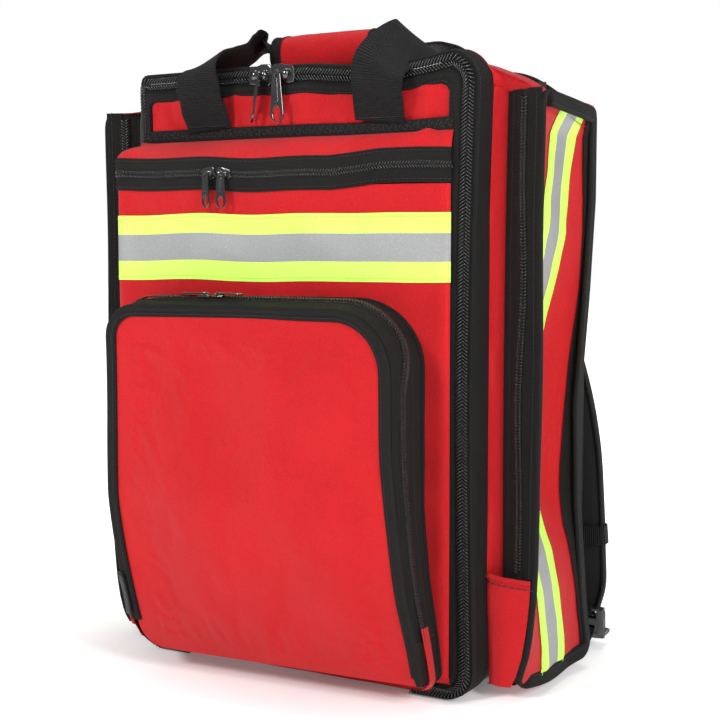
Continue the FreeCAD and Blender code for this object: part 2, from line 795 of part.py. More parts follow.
def pull(x, y, z, length, low_half, eye_r):
    """A flat pull hanging from a rod along X through (y, z), with a finger hole near its end."""
    top_half = PULL_TOP_HALF
    right_edge = [  # distance from the middle, z
        (low_half - 2.2, z - length), (low_half, z - length + 4),
        (top_half + 0.4, z - length * 0.4), (top_half, z),
    ]
    left_edge = [(x - half, level) for half, level in right_edge[::-1]]
    outline = left_edge + [(x + half, level) for half, level in right_edge]
    blade = prism("XZ", outline, y + dim.pull_t / 2, dim.pull_t)
    window = cylinder(low_half - 1.5, 8, "Y", x, y - 4, z - length + low_half + 0.6)
    eye = cylinder(eye_r, top_half * 2, "X", x - top_half, y, z)
    bore = cylinder(BORE_R, top_half * 2 + 4, "X", x - top_half - 2, y, z)
    return cut(fuse(blade, eye), window, bore)


def turned_to_face(obj, x):
    """The object turned about an upright line through the upper pocket's face at x."""
    rise = dim.upper_right.value - dim.upper_left.value
    slope = math.degrees(math.atan(rise / (UPPER_X[1] - UPPER_X[0])))
    centre = Vector(x, face_y(x).value, 0)
    spin = Rotation(Vector(0, 0, 1), slope)
    compound = group(obj)
    compound.Placement = Placement(centre - spin.multVec(centre), spin)
    return compound


main_y, main_z = dim.zip_plane - 2.4, 460
for side, x in (("left", -25.0), ("right", -9.0)):
    size = (dim.slider_len, dim.slider_w, dim.slider_h, dim.main_rod)
    node(slider(x, main_y, main_z, *size), f"main_slider_{side}")
    rod_y = main_y - dim.slider_h - dim.main_rod
    main_pull = pull(x, rod_y, main_z - ROD_DROP, dim.pull_len, low_half=4.6, eye_r=2.6)
    node(main_pull, f"main_pull_{side}")

upper_z = 385.6
for side, x in (("left", -54.0), ("right", -42.0)):
    y = face_y(x) - 2.5
    size = (dim.small_len, dim.small_w, dim.small_h, dim.small_rod)
    node(turned_to_face(slider(x, y, upper_z, *size), x), f"upper_slider_{side}")
    rod_y = y - dim.small_h - dim.small_rod
    upper_pull = pull(x, rod_y, upper_z - ROD_DROP, dim.small_pull, low_half=3.6, eye_r=2.2)
    node(turned_to_face(upper_pull, x), f"upper_pull_{side}")


def top_slider(x, y, z):
    """A slider on the top run of the lower pocket's zipper; its rod lies along Y."""
    top = z + dim.small_h
    outline = rect(span(x, dim.small_len), span(y, dim.small_w))
    slab = prism("XY", outline, z, dim.small_h, rounds=four_rounds(2.2))
    posts = [
        box((x - 2, x + 2), y_span, (top - 0.4, top + 3.8))
        for y_span in ((y - 3.6, y - 2.4), (y + 2.4, y + 3.6))
    ]
    return fuse(slab, *posts, cylinder(ROD_R, 6.4, "Y", x, y - 3.2, top + dim.small_rod))


def top_pull(x, y, z, reach):
    """A flat pull lying along X from a rod along Y."""
    half = 2.9
    shoulder_x, end_x = x + reach * 0.8, x + reach
    outline = [
        (x, y - 2.0), (shoulder_x, y - half), (end_x, y - half + 1.6),
        (end_x, y + half - 1.6), (shoulder_x, y + half), (x, y + 2.0),
    ]
    blade = prism("XY", outline, z - 0.8, 1.6)
    window = cylinder(1.7, 8, "Z", x + reach * 0.78, y, z - 4)
    eye = cylinder(2.2, 4, "Y", x, y - 2.0, z)
    bore = cylinder(BORE_R, 8, "Y", x, y - 4, z)
    return cut(fuse(blade, eye), window, bore)


lower_z = dim.lower_high + COIL_STANDOUT + 0.4
for side, x, reach in (("left", -44.0, -22.0), ("right", -31.0, 22.0)):
    node(top_slider(x, split, lower_z), f"lower_slider_{side}")
    rod_z = lower_z + dim.small_h + dim.small_rod
    node(top_pull(x, split, rod_z, reach), f"lower_pull_{side}")

# ---------------------------------------------------------------- export
doc.recompute()

bad = [o.Name for o in doc.Objects if any(word in ("Invalid", "Error") for word in o.State)]
if bad:
    raise SystemExit(f"these objects failed: {bad}")
os.makedirs("parts", exist_ok=True)
for old in os.listdir("parts"):
    if old.endswith(".step"):
        os.remove(os.path.join("parts", old))
if len({o.Label for o in nodes}) != len(nodes):
    raise SystemExit("two sub-parts share a name")
for obj in nodes:
    shape = obj.Shape
    if shape.isNull() or not shape.isValid() or not shape.Solids:
        raise SystemExit(f"{obj.Label} has no valid solid")
    if min(solid.Volume for solid in shape.Solids) <= 0:
        raise SystemExit(f"{obj.Label} has a solid turned inside out")
    shape.exportStep(os.path.join("parts", obj.Label + ".step"))
print(len(nodes), "sub-parts written")
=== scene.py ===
import bpy, math, json
import numpy as np
from mathutils import Vector, Matrix, noise as mnoise

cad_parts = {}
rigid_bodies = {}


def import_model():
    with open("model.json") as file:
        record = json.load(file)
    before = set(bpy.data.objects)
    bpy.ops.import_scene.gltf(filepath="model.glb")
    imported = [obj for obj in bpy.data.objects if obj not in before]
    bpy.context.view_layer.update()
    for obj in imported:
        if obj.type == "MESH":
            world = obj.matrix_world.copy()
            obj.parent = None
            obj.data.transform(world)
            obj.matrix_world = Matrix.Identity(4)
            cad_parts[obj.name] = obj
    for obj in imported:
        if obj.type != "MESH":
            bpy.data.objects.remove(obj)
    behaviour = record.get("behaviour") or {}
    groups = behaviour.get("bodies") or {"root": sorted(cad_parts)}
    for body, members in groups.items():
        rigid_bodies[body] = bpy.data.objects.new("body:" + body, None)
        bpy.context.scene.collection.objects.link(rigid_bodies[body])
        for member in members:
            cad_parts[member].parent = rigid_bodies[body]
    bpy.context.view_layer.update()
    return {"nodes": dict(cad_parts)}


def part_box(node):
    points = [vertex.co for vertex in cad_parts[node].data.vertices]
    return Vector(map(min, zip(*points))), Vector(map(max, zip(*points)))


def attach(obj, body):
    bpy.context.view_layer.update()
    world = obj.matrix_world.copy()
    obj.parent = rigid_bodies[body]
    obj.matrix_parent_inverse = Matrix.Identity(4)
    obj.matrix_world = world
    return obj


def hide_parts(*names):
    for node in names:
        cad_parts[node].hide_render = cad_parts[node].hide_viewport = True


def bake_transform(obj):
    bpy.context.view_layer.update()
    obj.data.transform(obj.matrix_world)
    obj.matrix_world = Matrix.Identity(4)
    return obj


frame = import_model()
scene = bpy.context.scene
NODES = frame["nodes"]
MM = 0.001
A = np.array

# ------------------------------------------------------------------ small tools
def nz(p, s, seed=0.0):
    """Smooth noise in -1..1 at points p (mm) with feature size s (mm)."""
    p = np.asarray(p, float)
    flat = p.reshape(-1, 3)
    out = np.empty(len(flat))
    for i, q in enumerate(flat):
        out[i] = mnoise.noise(Vector((q[0] / s + seed * 7.3, q[1] / s - seed * 3.1, q[2] / s + seed)))
    return out.reshape(p.shape[:-1])


def sstep(a, b, x):
    t = np.clip((np.asarray(x, float) - a) / (b - a), 0, 1)
    return t * t * (3 - 2 * t)


def mix(a, b, t):
    return a + (b - a) * t


def unit(v):
    v = np.asarray(v, float)
    return v / np.maximum(np.linalg.norm(v, axis=-1, keepdims=True), 1e-9)


def spline(pts, n):
    """Smooth path of n points, evenly spaced, through the given points."""
    p = A(pts, float)
    k = len(p)
    ext = np.vstack([2 * p[0] - p[1], p, 2 * p[-1] - p[-2]])
    dense = []
    for i in range(k - 1):
        p0, p1, p2, p3 = ext[i], ext[i + 1], ext[i + 2], ext[i + 3]
        t = np.linspace(0, 1, 40, endpoint=False)[:, None]
        dense.append(0.5 * ((2 * p1) + (-p0 + p2) * t + (2 * p0 - 5 * p1 + 4 * p2 - p3) * t ** 2 + (-p0 + 3 * p1 - 3 * p2 + p3) * t ** 3))
    dense.append(p[-1:])
    return resample(np.vstack(dense), n)


def resample(p, n):
    p = A(p, float)
    s = np.r_[0, np.cumsum(np.linalg.norm(np.diff(p, axis=0), axis=1))]
    q = np.linspace(0, s[-1], n)
    return np.stack([np.interp(q, s, p[:, j]) for j in range(p.shape[1])], 1)


def length_of(p):
    return float(np.linalg.norm(np.diff(p, axis=0), axis=1).sum())


def tangents(p):
    return unit(np.gradient(p, axis=0))


def link(me, name, mat):
    ob = bpy.data.objects.new(name, me)
    scene.collection.objects.link(ob)
    if mat is not None:
        me.materials.append(mat)
    return ob


def make(name, verts, faces, mat=None, uv=None, smooth=True):
    me = bpy.data.meshes.new(name)
    me.from_pydata((np.asarray(verts, float) * MM).tolist(), [], faces)
    if uv is not None:
        lay = me.uv_layers.new(name="uv")
        idx = np.empty(len(me.loops), np.int32)
        me.loops.foreach_get("vertex_index", idx)
        lay.data.foreach_set("uv", (np.asarray(uv, float)[idx] * MM).ravel().astype(np.float32))
    me.polygons.foreach_set("use_smooth", np.full(len(me.polygons), smooth))
    me.update()
    return link(me, name, mat)


def on(ob, body, slot, *repl):
    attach(ob, body)
    if repl:
        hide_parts(*repl)
    return ob


def quads(nu, nv, flip=False, wrap=False):
    i, j = np.meshgrid(np.arange(nu - 1), np.arange(nv if wrap else nv - 1), indexing="ij")
    j2 = (j + 1) % nv
    f = np.stack([i * nv + j, (i + 1) * nv + j, (i + 1) * nv + j2, i * nv + j2], -1).reshape(-1, 4)
    return (f[:, ::-1] if flip else f).tolist()


def grid_uv(P):
    du = np.r_[np.zeros((1, P.shape[1])), np.linalg.norm(np.diff(P, axis=0), axis=2)].cumsum(0)
    dv = np.c_[np.zeros((P.shape[0], 1)), np.linalg.norm(np.diff(P, axis=1), axis=2)].cumsum(1)
    return np.stack([du.mean(1, keepdims=True) + 0 * du, dv.mean(0, keepdims=True) + 0 * dv], -1)


def sheet(name, P, mat, flip=False, uv=None):
    P = np.asarray(P, float)
    g = grid_uv(P) if uv is None else uv
    return make(name, P.reshape(-1, 3), quads(P.shape[0], P.shape[1], flip), mat, g.reshape(-1, 2))


def sweep(name, path, side, prof, mat, nrm=None, closed=False, caps=True):
    """Carries a closed 2-D profile (across, out) along a path."""
    path = A(path, float)
    t = unit(np.roll(path, -1, 0) - np.roll(path, 1, 0)) if closed else tangents(path)
    side = np.broadcast_to(A(side, float), path.shape)
    side = unit(side - (side * t).sum(1, keepdims=True) * t)
    n = unit(np.cross(t, side)) if nrm is None else nrm
    prof = A(prof, float)
    P = path[:, None, :] + side[:, None, :] * prof[None, :, 0:1] + n[:, None, :] * prof[None, :, 1:2]
    nu, nv = P.shape[:2]
    s = np.r_[0, np.cumsum(np.linalg.norm(np.diff(path, axis=0), axis=1))]
    uv = np.stack(np.broadcast_arrays(s[:, None], prof[None, :, 0]), -1)
    faces = quads(nu, nv, wrap=True)
    if closed:
        faces += [[(nu - 1) * nv + j, j, (j + 1) % nv, (nu - 1) * nv + (j + 1) % nv] for j in range(nv)]
    elif caps:
        faces += [list(range(nv)), [(nu - 1) * nv + j for j in range(nv)][::-1]]
    return make(name, P.reshape(-1, 3), faces, mat, uv.reshape(-1, 2))


def flat_profile(w, t, n=5, r=0.9):
    """A tape's cross section: w wide, t thick, with rounded edges."""
    pts = []
    for k in range(n):
        a = -math.pi / 2 + math.pi * k / (n - 1)
        pts.append((w / 2 - t / 2 + t / 2 * math.cos(a), t / 2 * math.sin(a)))
    m = 6
    for k in range(1, m):
        pts.append((w / 2 - t / 2 - (w - t) * k / m, t / 2))
    for k in range(n):
        a = math.pi / 2 + math.pi * k / (n - 1)
        pts.append((-w / 2 + t / 2 + t / 2 * math.cos(a), t / 2 * math.sin(a)))
    for k in range(1, m):
        pts.append((-w / 2 + t / 2 + (w - t) * k / m, -t / 2))
    return A(pts)


def instanced(name, at, X, Y, Z, tmpl_v, tmpl_f, mat, smooth=True):
    """Copies a small template to many places, with its own axes at each."""
    V = at[:, None, :] + tmpl_v[None, :, 0:1] * X[:, None, :] + tmpl_v[None, :, 1:2] * Y[:, None, :] + tmpl_v[None, :, 2:3] * Z[:, None, :]
    n, m = V.shape[:2]
    F = []
    for f in tmpl_f:
        F.append((A(f)[None, :] + (np.arange(n) * m)[:, None]).tolist())
    faces = [q for grp in F for q in grp]
    return make(name, V.reshape(-1, 3), faces, mat, None, smooth)


def capsule(length, r, rings=(0, 0.12, 0.5, 0.88, 1), scale=(0.35, 0.9, 1, 0.9, 0.35), sides=6, arch=0.0):
    v, f = [], []
    for a, s in zip(rings, scale):
        for k in range(sides):
            th = 2 * math.pi * k / sides
            v.append((a * length, r * s * math.cos(th), r * s * math.sin(th) + arch * math.sin(math.pi * a)))
    nr = len(rings)
    for i in range(nr - 1):
        for k in range(sides):
            f.append([i * sides + k, i * sides + (k + 1) % sides, (i + 1) * sides + (k + 1) % sides, (i + 1) * sides + k])
    f.append(list(range(sides))[::-1])
    f.append([(nr - 1) * sides + k for k in range(sides)])
    return A(v), f


def walk(path, extra, pitch, phase=0.0):
    """Points every pitch along a path, with the extra vectors carried along."""
    s = np.r_[0, np.cumsum(np.linalg.norm(np.diff(path, axis=0), axis=1))]
    q = np.arange(phase * pitch, s[-1], pitch)
    it = lambda a: np.stack([np.interp(q, s, a[:, j]) for j in range(3)], 1)
    return it(path), [unit(it(np.broadcast_to(e, path.shape))) for e in extra], unit(it(tangents(path)))


def teeth(name, path, outward, face, mat, size=4.6, pitch=1.55, phase=0.0, r=0.62, tilt=0.6):
    """One side of a coil chain: small arched loops from the centre line outward."""
    at, (o, n), t = walk(path, [outward, face], pitch, phase)
    o = unit(o - (o * t).sum(1, keepdims=True) * t)
    x = unit(o + t * tilt)
    y = unit(np.cross(n, x))
    v, f = capsule(size, r, (0, 0.1, 0.35, 0.7, 0.92, 1), (0.5, 0.95, 1.0, 1.0, 0.85, 0.4), 6, 0.55)
    return instanced(name, at - x * 0.35, x, y, unit(n), v, f, mat)


def stitches(name, path, face, mat, pitch=3.6, length=2.5, r=0.3, lift=0.1, phase=0.0):
    at, (n,), t = walk(path, [face], pitch, phase)
    n = unit(n - (n * t).sum(1, keepdims=True) * t)
    v, f = capsule(length, r, sides=5)
    return instanced(name, at + n * lift, t, np.cross(n, t), n, v, f, mat)


def joined(name, obs):
    """Joins meshes that ride together into one piece."""
    obs = [o for o in obs if o is not None]
    for o in bpy.context.selected_objects:
        o.select_set(False)
    for o in obs:
        o.select_set(True)
    bpy.context.view_layer.objects.active = obs[0]
    bpy.ops.object.join()
    obs[0].name = name
    obs[0].data.name = name
    return obs[0]


def inflate(ob, pin, pressure=2.0, frames=16, shrink=-0.02, cap=6.0, gravity=0.0, stiff=12.0):
    """Cloth simulation of a pinned panel; the settled shape becomes the mesh."""
    me = ob.data
    rest = np.empty(len(me.vertices) * 3, np.float32)
    me.vertices.foreach_get("co", rest)
    rest = rest.reshape(-1, 3)
    vg = ob.vertex_groups.new(name="pin")
    for i in np.nonzero(pin)[0]:
        vg.add([int(i)], float(pin[i]), "REPLACE")
    m = ob.modifiers.new("cloth", "CLOTH")
    c = m.settings
    c.vertex_group_mass = "pin"
    c.pin_stiffness = 1.0
    c.quality = 5
    c.mass = 0.15
    c.tension_stiffness = stiff
    c.compression_stiffness = stiff
    c.shear_stiffness = 4.0
    c.bending_stiffness = 0.4
    c.air_damping = 4.0
    c.use_pressure = True
    c.uniform_pressure_force = pressure
    c.shrink_min = shrink
    c.effector_weights.gravity = gravity
    m.collision_settings.use_collision = False
    m.collision_settings.use_self_collision = False
    for f in range(1, frames + 1):
        scene.frame_set(f)
    ev = ob.evaluated_get(bpy.context.evaluated_depsgraph_get())
    new = np.empty(len(me.vertices) * 3, np.float32)
    ev.data.vertices.foreach_get("co", new)
    new = new.reshape(-1, 3)
    ob.modifiers.remove(m)
    scene.frame_set(1)
    d = new - rest
    if not np.isfinite(d).all():
        d[:] = 0
    L = np.linalg.norm(d, axis=1, keepdims=True)
    lim = cap * MM
    d *= np.where(L > 1e-9, lim * np.tanh(L / lim) / np.maximum(L, 1e-9), 1.0)
    me.vertices.foreach_set("co", (rest + d).ravel())
    me.update()
    return ob


# ------------------------------------------------------------------ materials
def nt(mat):
    mat.use_nodes = True
    t = mat.node_tree
    t.nodes.clear()
    out = t.nodes.new("ShaderNodeOutputMaterial")
    b = t.nodes.new("ShaderNodeBsdfPrincipled")
    t.links.new(b.outputs[0], out.inputs[0])
    return t, b


def N(t, kind, **kw):
    n = t.nodes.new(kind)
    for k, v in kw.items():
        if k.startswith("in_"):
            key = k[3:]
            n.inputs[int(key) if key.isdigit() else key].default_value = v
        else:
            setattr(n, k, v)
    return n


def mth(t, op, a, b=None, c=None):
    n = t.nodes.new("ShaderNodeMath")
    n.operation = op
    for i, v in enumerate((a, b, c)):
        if v is None:
            continue
        if isinstance(v, (int, float)):
            n.inputs[i].default_value = v
        else:
            t.links.new(v, n.inputs[i])
    return n.outputs[0]


def sin_of(t, v, pitch_m):
    return mth(t, "SINE", mth(t, "MULTIPLY", v, 2 * math.pi / pitch_m))


def tri_weave(t, pitch):
    """A plain weave seen along each axis, mixed by which way the cloth faces."""
    tc = N(t, "ShaderNodeTexCoord")
    p = N(t, "ShaderNodeSeparateXYZ")
    t.links.new(tc.outputs["Object"], p.inputs[0])
    q = N(t, "ShaderNodeSeparateXYZ")
    t.links.new(tc.outputs["Normal"], q.inputs[0])
    s = [sin_of(t, p.outputs[i], pitch * 2) for i in range(3)]
    w = [mth(t, "POWER", mth(t, "ABSOLUTE", q.outputs[i]), 4.0) for i in range(3)]
    total = mth(t, "ADD", mth(t, "ADD", w[0], w[1]), w[2])
    h = mth(t, "MULTIPLY", mth(t, "MULTIPLY", s[1], s[2]), w[0])
    h = mth(t, "ADD", h, mth(t, "MULTIPLY", mth(t, "MULTIPLY", s[0], s[2]), w[1]))
    h = mth(t, "ADD", h, mth(t, "MULTIPLY", mth(t, "MULTIPLY", s[0], s[1]), w[2]))
    return mth(t, "DIVIDE", h, mth(t, "ADD", total, 0.001)), tc


def colour_mix(t, fac, a, b):
    m = N(t, "ShaderNodeMix", data_type="RGBA")
    for sock, v in ((m.inputs[0], fac), (m.inputs[6], a), (m.inputs[7], b)):
        if isinstance(v, (int, float)):
            sock.default_value = v
        elif isinstance(v, tuple):
            sock.default_value = (*v, 1.0) if len(v) == 3 else v
        else:
            t.links.new(v, sock)
    return m.outputs[2]


def fabric(name, dark, light, pitch=0.00055, rough=0.62, bump=0.25, sheen=0.25, wave=0.35, sheen_tint=(1, 0.8, 0.8)):
    m = bpy.data.materials.new(name)
    t, b = nt(m)
    h, tc = tri_weave(t, pitch)
    big = N(t, "ShaderNodeTexNoise", in_Scale=14.0, in_Detail=4.0)
    t.links.new(tc.outputs["Object"], big.inputs["Vector"])
    fine = N(t, "ShaderNodeTexNoise", in_Scale=900.0, in_Detail=3.0)
    t.links.new(tc.outputs["Object"], fine.inputs["Vector"])
    mid = N(t, "ShaderNodeTexNoise", in_Scale=1050.0, in_Detail=2.0)
    t.links.new(tc.outputs["Object"], mid.inputs["Vector"])
    f = mth(t, "ADD", mth(t, "MULTIPLY", big.outputs[0], 0.35), mth(t, "ADD", mth(t, "MULTIPLY", fine.outputs[0], 0.25), mth(t, "MULTIPLY", mth(t, "SUBTRACT", mid.outputs[0], 0.25), 0.8)))
    f = mth(t, "ADD", f, mth(t, "MULTIPLY", h, wave * 0.5))
    col = colour_mix(t, mth(t, "MINIMUM", mth(t, "MAXIMUM", f, 0.0), 1.0), dark, light)
    t.links.new(col, b.inputs["Base Color"])
    b.inputs["Roughness"].default_value = rough
    b.inputs["Sheen Weight"].default_value = sheen
    b.inputs["Sheen Roughness"].default_value = 0.45
    b.inputs["Sheen Tint"].default_value = (*sheen_tint, 1)
    b.inputs["Specular IOR Level"].default_value = 0.12
    bp = N(t, "ShaderNodeBump", in_Strength=bump, in_Distance=0.0004)
    t.links.new(h, bp.inputs["Height"])
    soft = N(t, "ShaderNodeTexNoise", in_Scale=38.0, in_Detail=5.0, in_Roughness=0.55)
    t.links.new(tc.outputs["Object"], soft.inputs["Vector"])
    bp2 = N(t, "ShaderNodeBump", in_Strength=0.35, in_Distance=0.006)
    t.links.new(soft.outputs[0], bp2.inputs["Height"])
    t.links.new(bp2.outputs[0], bp.inputs["Normal"])
    t.links.new(bp.outputs[0], b.inputs["Normal"])
    return m


def ribbed(name, dark, light, along=0.0015, across=0.0011, rough=0.7, bump=0.9, dist=0.0005, herring=0.0):
    """Webbing or woven tape: ribs across, following the strip's own length and width."""
    m = bpy.data.materials.new(name)
    t, b = nt(m)
    uv = N(t, "ShaderNodeUVMap", uv_map="uv")
    p = N(t, "ShaderNodeSeparateXYZ")
    t.links.new(uv.outputs[0], p.inputs[0])
    u, v = p.outputs[0], p.outputs[1]
    if herring:
        v_ = mth(t, "PINGPONG", v, herring)
        u = mth(t, "ADD", u, v_)
    s1 = sin_of(t, u, along)
    s2 = sin_of(t, v, across)
    h = mth(t, "ADD", mth(t, "MULTIPLY", s1, 0.7), mth(t, "MULTIPLY", mth(t, "MULTIPLY", s1, s2), 0.3))
    tc = N(t, "ShaderNodeTexCoord")
    fine = N(t, "ShaderNodeTexNoise", in_Scale=700.0, in_Detail=3.0)
    t.links.new(tc.outputs["Object"], fine.inputs["Vector"])
    big = N(t, "ShaderNodeTexNoise", in_Scale=25.0, in_Detail=3.0)
    t.links.new(tc.outputs["Object"], big.inputs["Vector"])
    f = mth(t, "ADD", mth(t, "MULTIPLY", h, 0.3), mth(t, "ADD", mth(t, "MULTIPLY", fine.outputs[0], 0.5), mth(t, "MULTIPLY", big.outputs[0], 0.25)))
    t.links.new(colour_mix(t, mth(t, "MINIMUM", mth(t, "MAXIMUM", f, 0.0), 1.0), dark, light), b.inputs["Base Color"])
    b.inputs["Roughness"].default_value = rough
    b.inputs["Specular IOR Level"].default_value = 0.13
    b.inputs["Sheen Weight"].default_value = 0.02
    b.inputs["Sheen Roughness"].default_value = 0.5
    bp = N(t, "ShaderNodeBump", in_Strength=bump, in_Distance=dist)
    hf = mth(t, "ADD", h, mth(t, "MULTIPLY", fine.outputs[0], 0.6))
    t.links.new(hf, bp.inputs["Height"])
    t.links.new(bp.outputs[0], b.inputs["Normal"])
    return m


def plastic(name, col, rough=0.35, spec=0.5, bump=0.1, scale=420.0, coat=0.0, wear=(0.25, 0.25, 0.26)):
    m = bpy.data.materials.new(name)
    t, b = nt(m)
    tc = N(t, "ShaderNodeTexCoord")
    n1 = N(t, "ShaderNodeTexNoise", in_Scale=scale, in_Detail=4.0)
    t.links.new(tc.outputs["Object"], n1.inputs["Vector"])
    n2 = N(t, "ShaderNodeTexNoise", in_Scale=60.0, in_Detail=5.0)
    t.links.new(tc.outputs["Object"], n2.inputs["Vector"])
    geo = N(t, "ShaderNodeNewGeometry")
    edge = mth(t, "MULTIPLY", mth(t, "MAXIMUM", mth(t, "SUBTRACT", geo.outputs["Pointiness"], 0.55), 0.0), 3.0)
    light = tuple(min(1.0, c * 1.7 + 0.004) for c in col)
    base = colour_mix(t, n2.outputs[0], col, light)
    t.links.new(colour_mix(t, mth(t, "MINIMUM", edge, 0.35), base, wear), b.inputs["Base Color"])
    r = mth(t, "ADD", mth(t, "MULTIPLY", n2.outputs[0], 0.18), rough - 0.06)
    t.links.new(r, b.inputs["Roughness"])
    b.inputs["Specular IOR Level"].default_value = spec
    b.inputs["Coat Weight"].default_value = coat
    b.inputs["Coat Roughness"].default_value = 0.12
    bp = N(t, "ShaderNodeBump", in_Strength=bump, in_Distance=0.0003)
    t.links.new(n1.outputs[0], bp.inputs["Height"])
    t.links.new(bp.outputs[0], b.inputs["Normal"])
    return m


def reflective(name):
    """Fluorescent tape with a silver band down the middle; v runs from 0 to 1 across it in the uv map."""
    m = bpy.data.materials.new(name)
    t, b = nt(m)
    uv = N(t, "ShaderNodeUVMap", uv_map="uv")
    p = N(t, "ShaderNodeSeparateXYZ")
    t.links.new(uv.outputs[0], p.inputs[0])
    v = mth(t, "MULTIPLY", p.outputs[1], 1000.0)
    d = mth(t, "ABSOLUTE", mth(t, "SUBTRACT", v, 0.5))
    band = mth(t, "LESS_THAN", d, 0.205)
    h, tc = tri_weave(t, 0.0004)
    n = N(t, "ShaderNodeTexNoise", in_Scale=16.0, in_Detail=4.0)
    t.links.new(tc.outputs["Object"], n.inputs["Vector"])
    yellow = colour_mix(t, mth(t, "ADD", mth(t, "MULTIPLY", n.outputs[0], 0.8), mth(t, "MULTIPLY", h, 0.12)), (0.42, 0.74, 0.07), (0.60, 0.86, 0.15))
    vor = N(t, "ShaderNodeTexVoronoi", in_Scale=1500.0)
    t.links.new(tc.outputs["Object"], vor.inputs["Vector"])
    silver = colour_mix(t, vor.outputs["Distance"], (0.18, 0.183, 0.187), (0.30, 0.302, 0.30))
    t.links.new(colour_mix(t, band, yellow, silver), b.inputs["Base Color"])
    t.links.new(mth(t, "SUBTRACT", 0.62, mth(t, "MULTIPLY", band, 0.22)), b.inputs["Roughness"])
    # the yellow band glows faintly: a painted glow standing in for the fluorescent yellow's brightness; the silver band
    # does not glow
    t.links.new(colour_mix(t, band, (0.45, 0.75, 0.02), (0.0, 0.0, 0.0)), b.inputs["Emission Color"])
    b.inputs["Emission Strength"].default_value = 0.10
    bp = N(t, "ShaderNodeBump", in_Strength=0.2, in_Distance=0.00025)
    t.links.new(h, bp.inputs["Height"])
    t.links.new(bp.outputs[0], b.inputs["Normal"])
    return m


def air_mesh(name, dark, light, cell=0.0032):
    m = bpy.data.materials.new(name)
    t, b = nt(m)
    tc = N(t, "ShaderNodeTexCoord")
    vor = N(t, "ShaderNodeTexVoronoi", in_Scale=1.0 / cell, feature="DISTANCE_TO_EDGE")
    t.links.new(tc.outputs["Object"], vor.inputs["Vector"])
    hole = mth(t, "MULTIPLY", mth(t, "MINIMUM", vor.outputs["Distance"], 0.22), 4.5)
    fine = N(t, "ShaderNodeTexNoise", in_Scale=1200.0, in_Detail=2.0)
    t.links.new(tc.outputs["Object"], fine.inputs["Vector"])
    inv = mth(t, "SUBTRACT", 1.0, hole)
    # the cell hollows take the dark colour and the threads between them the light one: painted shade inside the mesh's
    # holes, which are only a bump here
    t.links.new(colour_mix(t, mth(t, "MULTIPLY", inv, mth(t, "ADD", fine.outputs[0], 0.3)), dark, light), b.inputs["Base Color"])
    b.inputs["Roughness"].default_value = 0.85
    b.inputs["Sheen Weight"].default_value = 0.2
    bp = N(t, "ShaderNodeBump", in_Strength=0.8, in_Distance=0.0009)
    t.links.new(inv, bp.inputs["Height"])
    t.links.new(bp.outputs[0], b.inputs["Normal"])
    return m


RED = fabric("red_cordura", (0.295, 0.0033, 0.0066), (0.675, 0.0155, 0.0185), sheen=0.10, rough=0.6, bump=0.6, wave=0.8)
# a slightly darker copy of the red cloth for the feet, the bottom and the parts that turn under: painted shade where
# these faces get less light
RED_UNDERSIDE_SHADE = fabric("red_cordura_shade", (0.30, 0.003, 0.007), (0.62, 0.014, 0.018), sheen=0.08, bump=0.6, wave=0.8)
BLACK_CLOTH = fabric("black_cloth", (0.003, 0.003, 0.003), (0.018, 0.018, 0.018), sheen=0.15, sheen_tint=(1, 1, 1), bump=0.5)
LINING = fabric("lining_cloth", (0.018, 0.018, 0.02), (0.055, 0.055, 0.06), sheen=0.2, sheen_tint=(1, 1, 1), pitch=0.0008, bump=0.4)
TAPE = ribbed("woven_tape", (0.003, 0.003, 0.003), (0.030, 0.027, 0.025), along=0.0013, across=0.0021, herring=0.0011, bump=1.0, dist=0.0007)
BIND = ribbed("edge_binding", (0.003, 0.003, 0.003), (0.032, 0.029, 0.027), along=0.0012, across=0.0018, herring=0.0018, bump=1.0, dist=0.0008)
WEB = ribbed("ribbed_webbing", (0.002, 0.002, 0.002), (0.030, 0.030, 0.031), along=0.00165, across=0.0009, bump=1.0, dist=0.0011, rough=0.55)
COIL = plastic("coil_nylon", (0.007, 0.007, 0.007), rough=0.24, spec=0.6, bump=0.05, wear=(0.012, 0.012, 0.012))
METAL = plastic("slider_enamel", (0.004, 0.004, 0.004), rough=0.14, spec=0.75, bump=0.03, coat=0.7, wear=(0.06, 0.06, 0.06))
GREY = plastic("buckle_nylon", (0.055, 0.056, 0.06), rough=0.45, bump=0.25, scale=900)
THREAD_K = plastic("black_thread", (0.006, 0.006, 0.006), rough=0.5, spec=0.35, wear=(0.05, 0.05, 0.05))
THREAD_Y = plastic("yellow_thread", (0.42, 0.66, 0.03), rough=0.6, spec=0.3, wear=(0.5, 0.7, 0.1))
THREAD_R = plastic("red_thread", (0.42, 0.008, 0.012), rough=0.6, spec=0.3, wear=(0.6, 0.05, 0.05))
MESH = air_mesh("air_mesh", (0.004, 0.004, 0.0045), (0.05, 0.05, 0.053))
NET = air_mesh("pocket_net", (0.002, 0.002, 0.002), (0.06, 0.06, 0.065), cell=0.0026)
BOARD = plastic("stiffener_board", (0.03, 0.03, 0.033), rough=0.6, bump=0.4)
TAPE_Y = reflective("reflective_strip")

# ------------------------------------------------------------------ the shape that the front pieces share
TOP_X = A([-150, -135, -109, -52, 14, 49, 93, 114, 130, 140, 150.0])
TOP_Z = A([-1.0, -1.0, -1.0, -0.6, -1.6, -5.0, -4.8, -2.0, 1.0, 0.5, 0.0])


def droop(x, z):
    """The main zipper's top run is not straight: it sinks a little between the handles."""
    return np.interp(x, TOP_X, TOP_Z) * sstep(400, 455, z)


def bow(z):
    """The right run leans in at mid height."""
    return -2.5 + 5.5 * (np.abs(np.asarray(z, float) - 225) / 225) ** 1.6


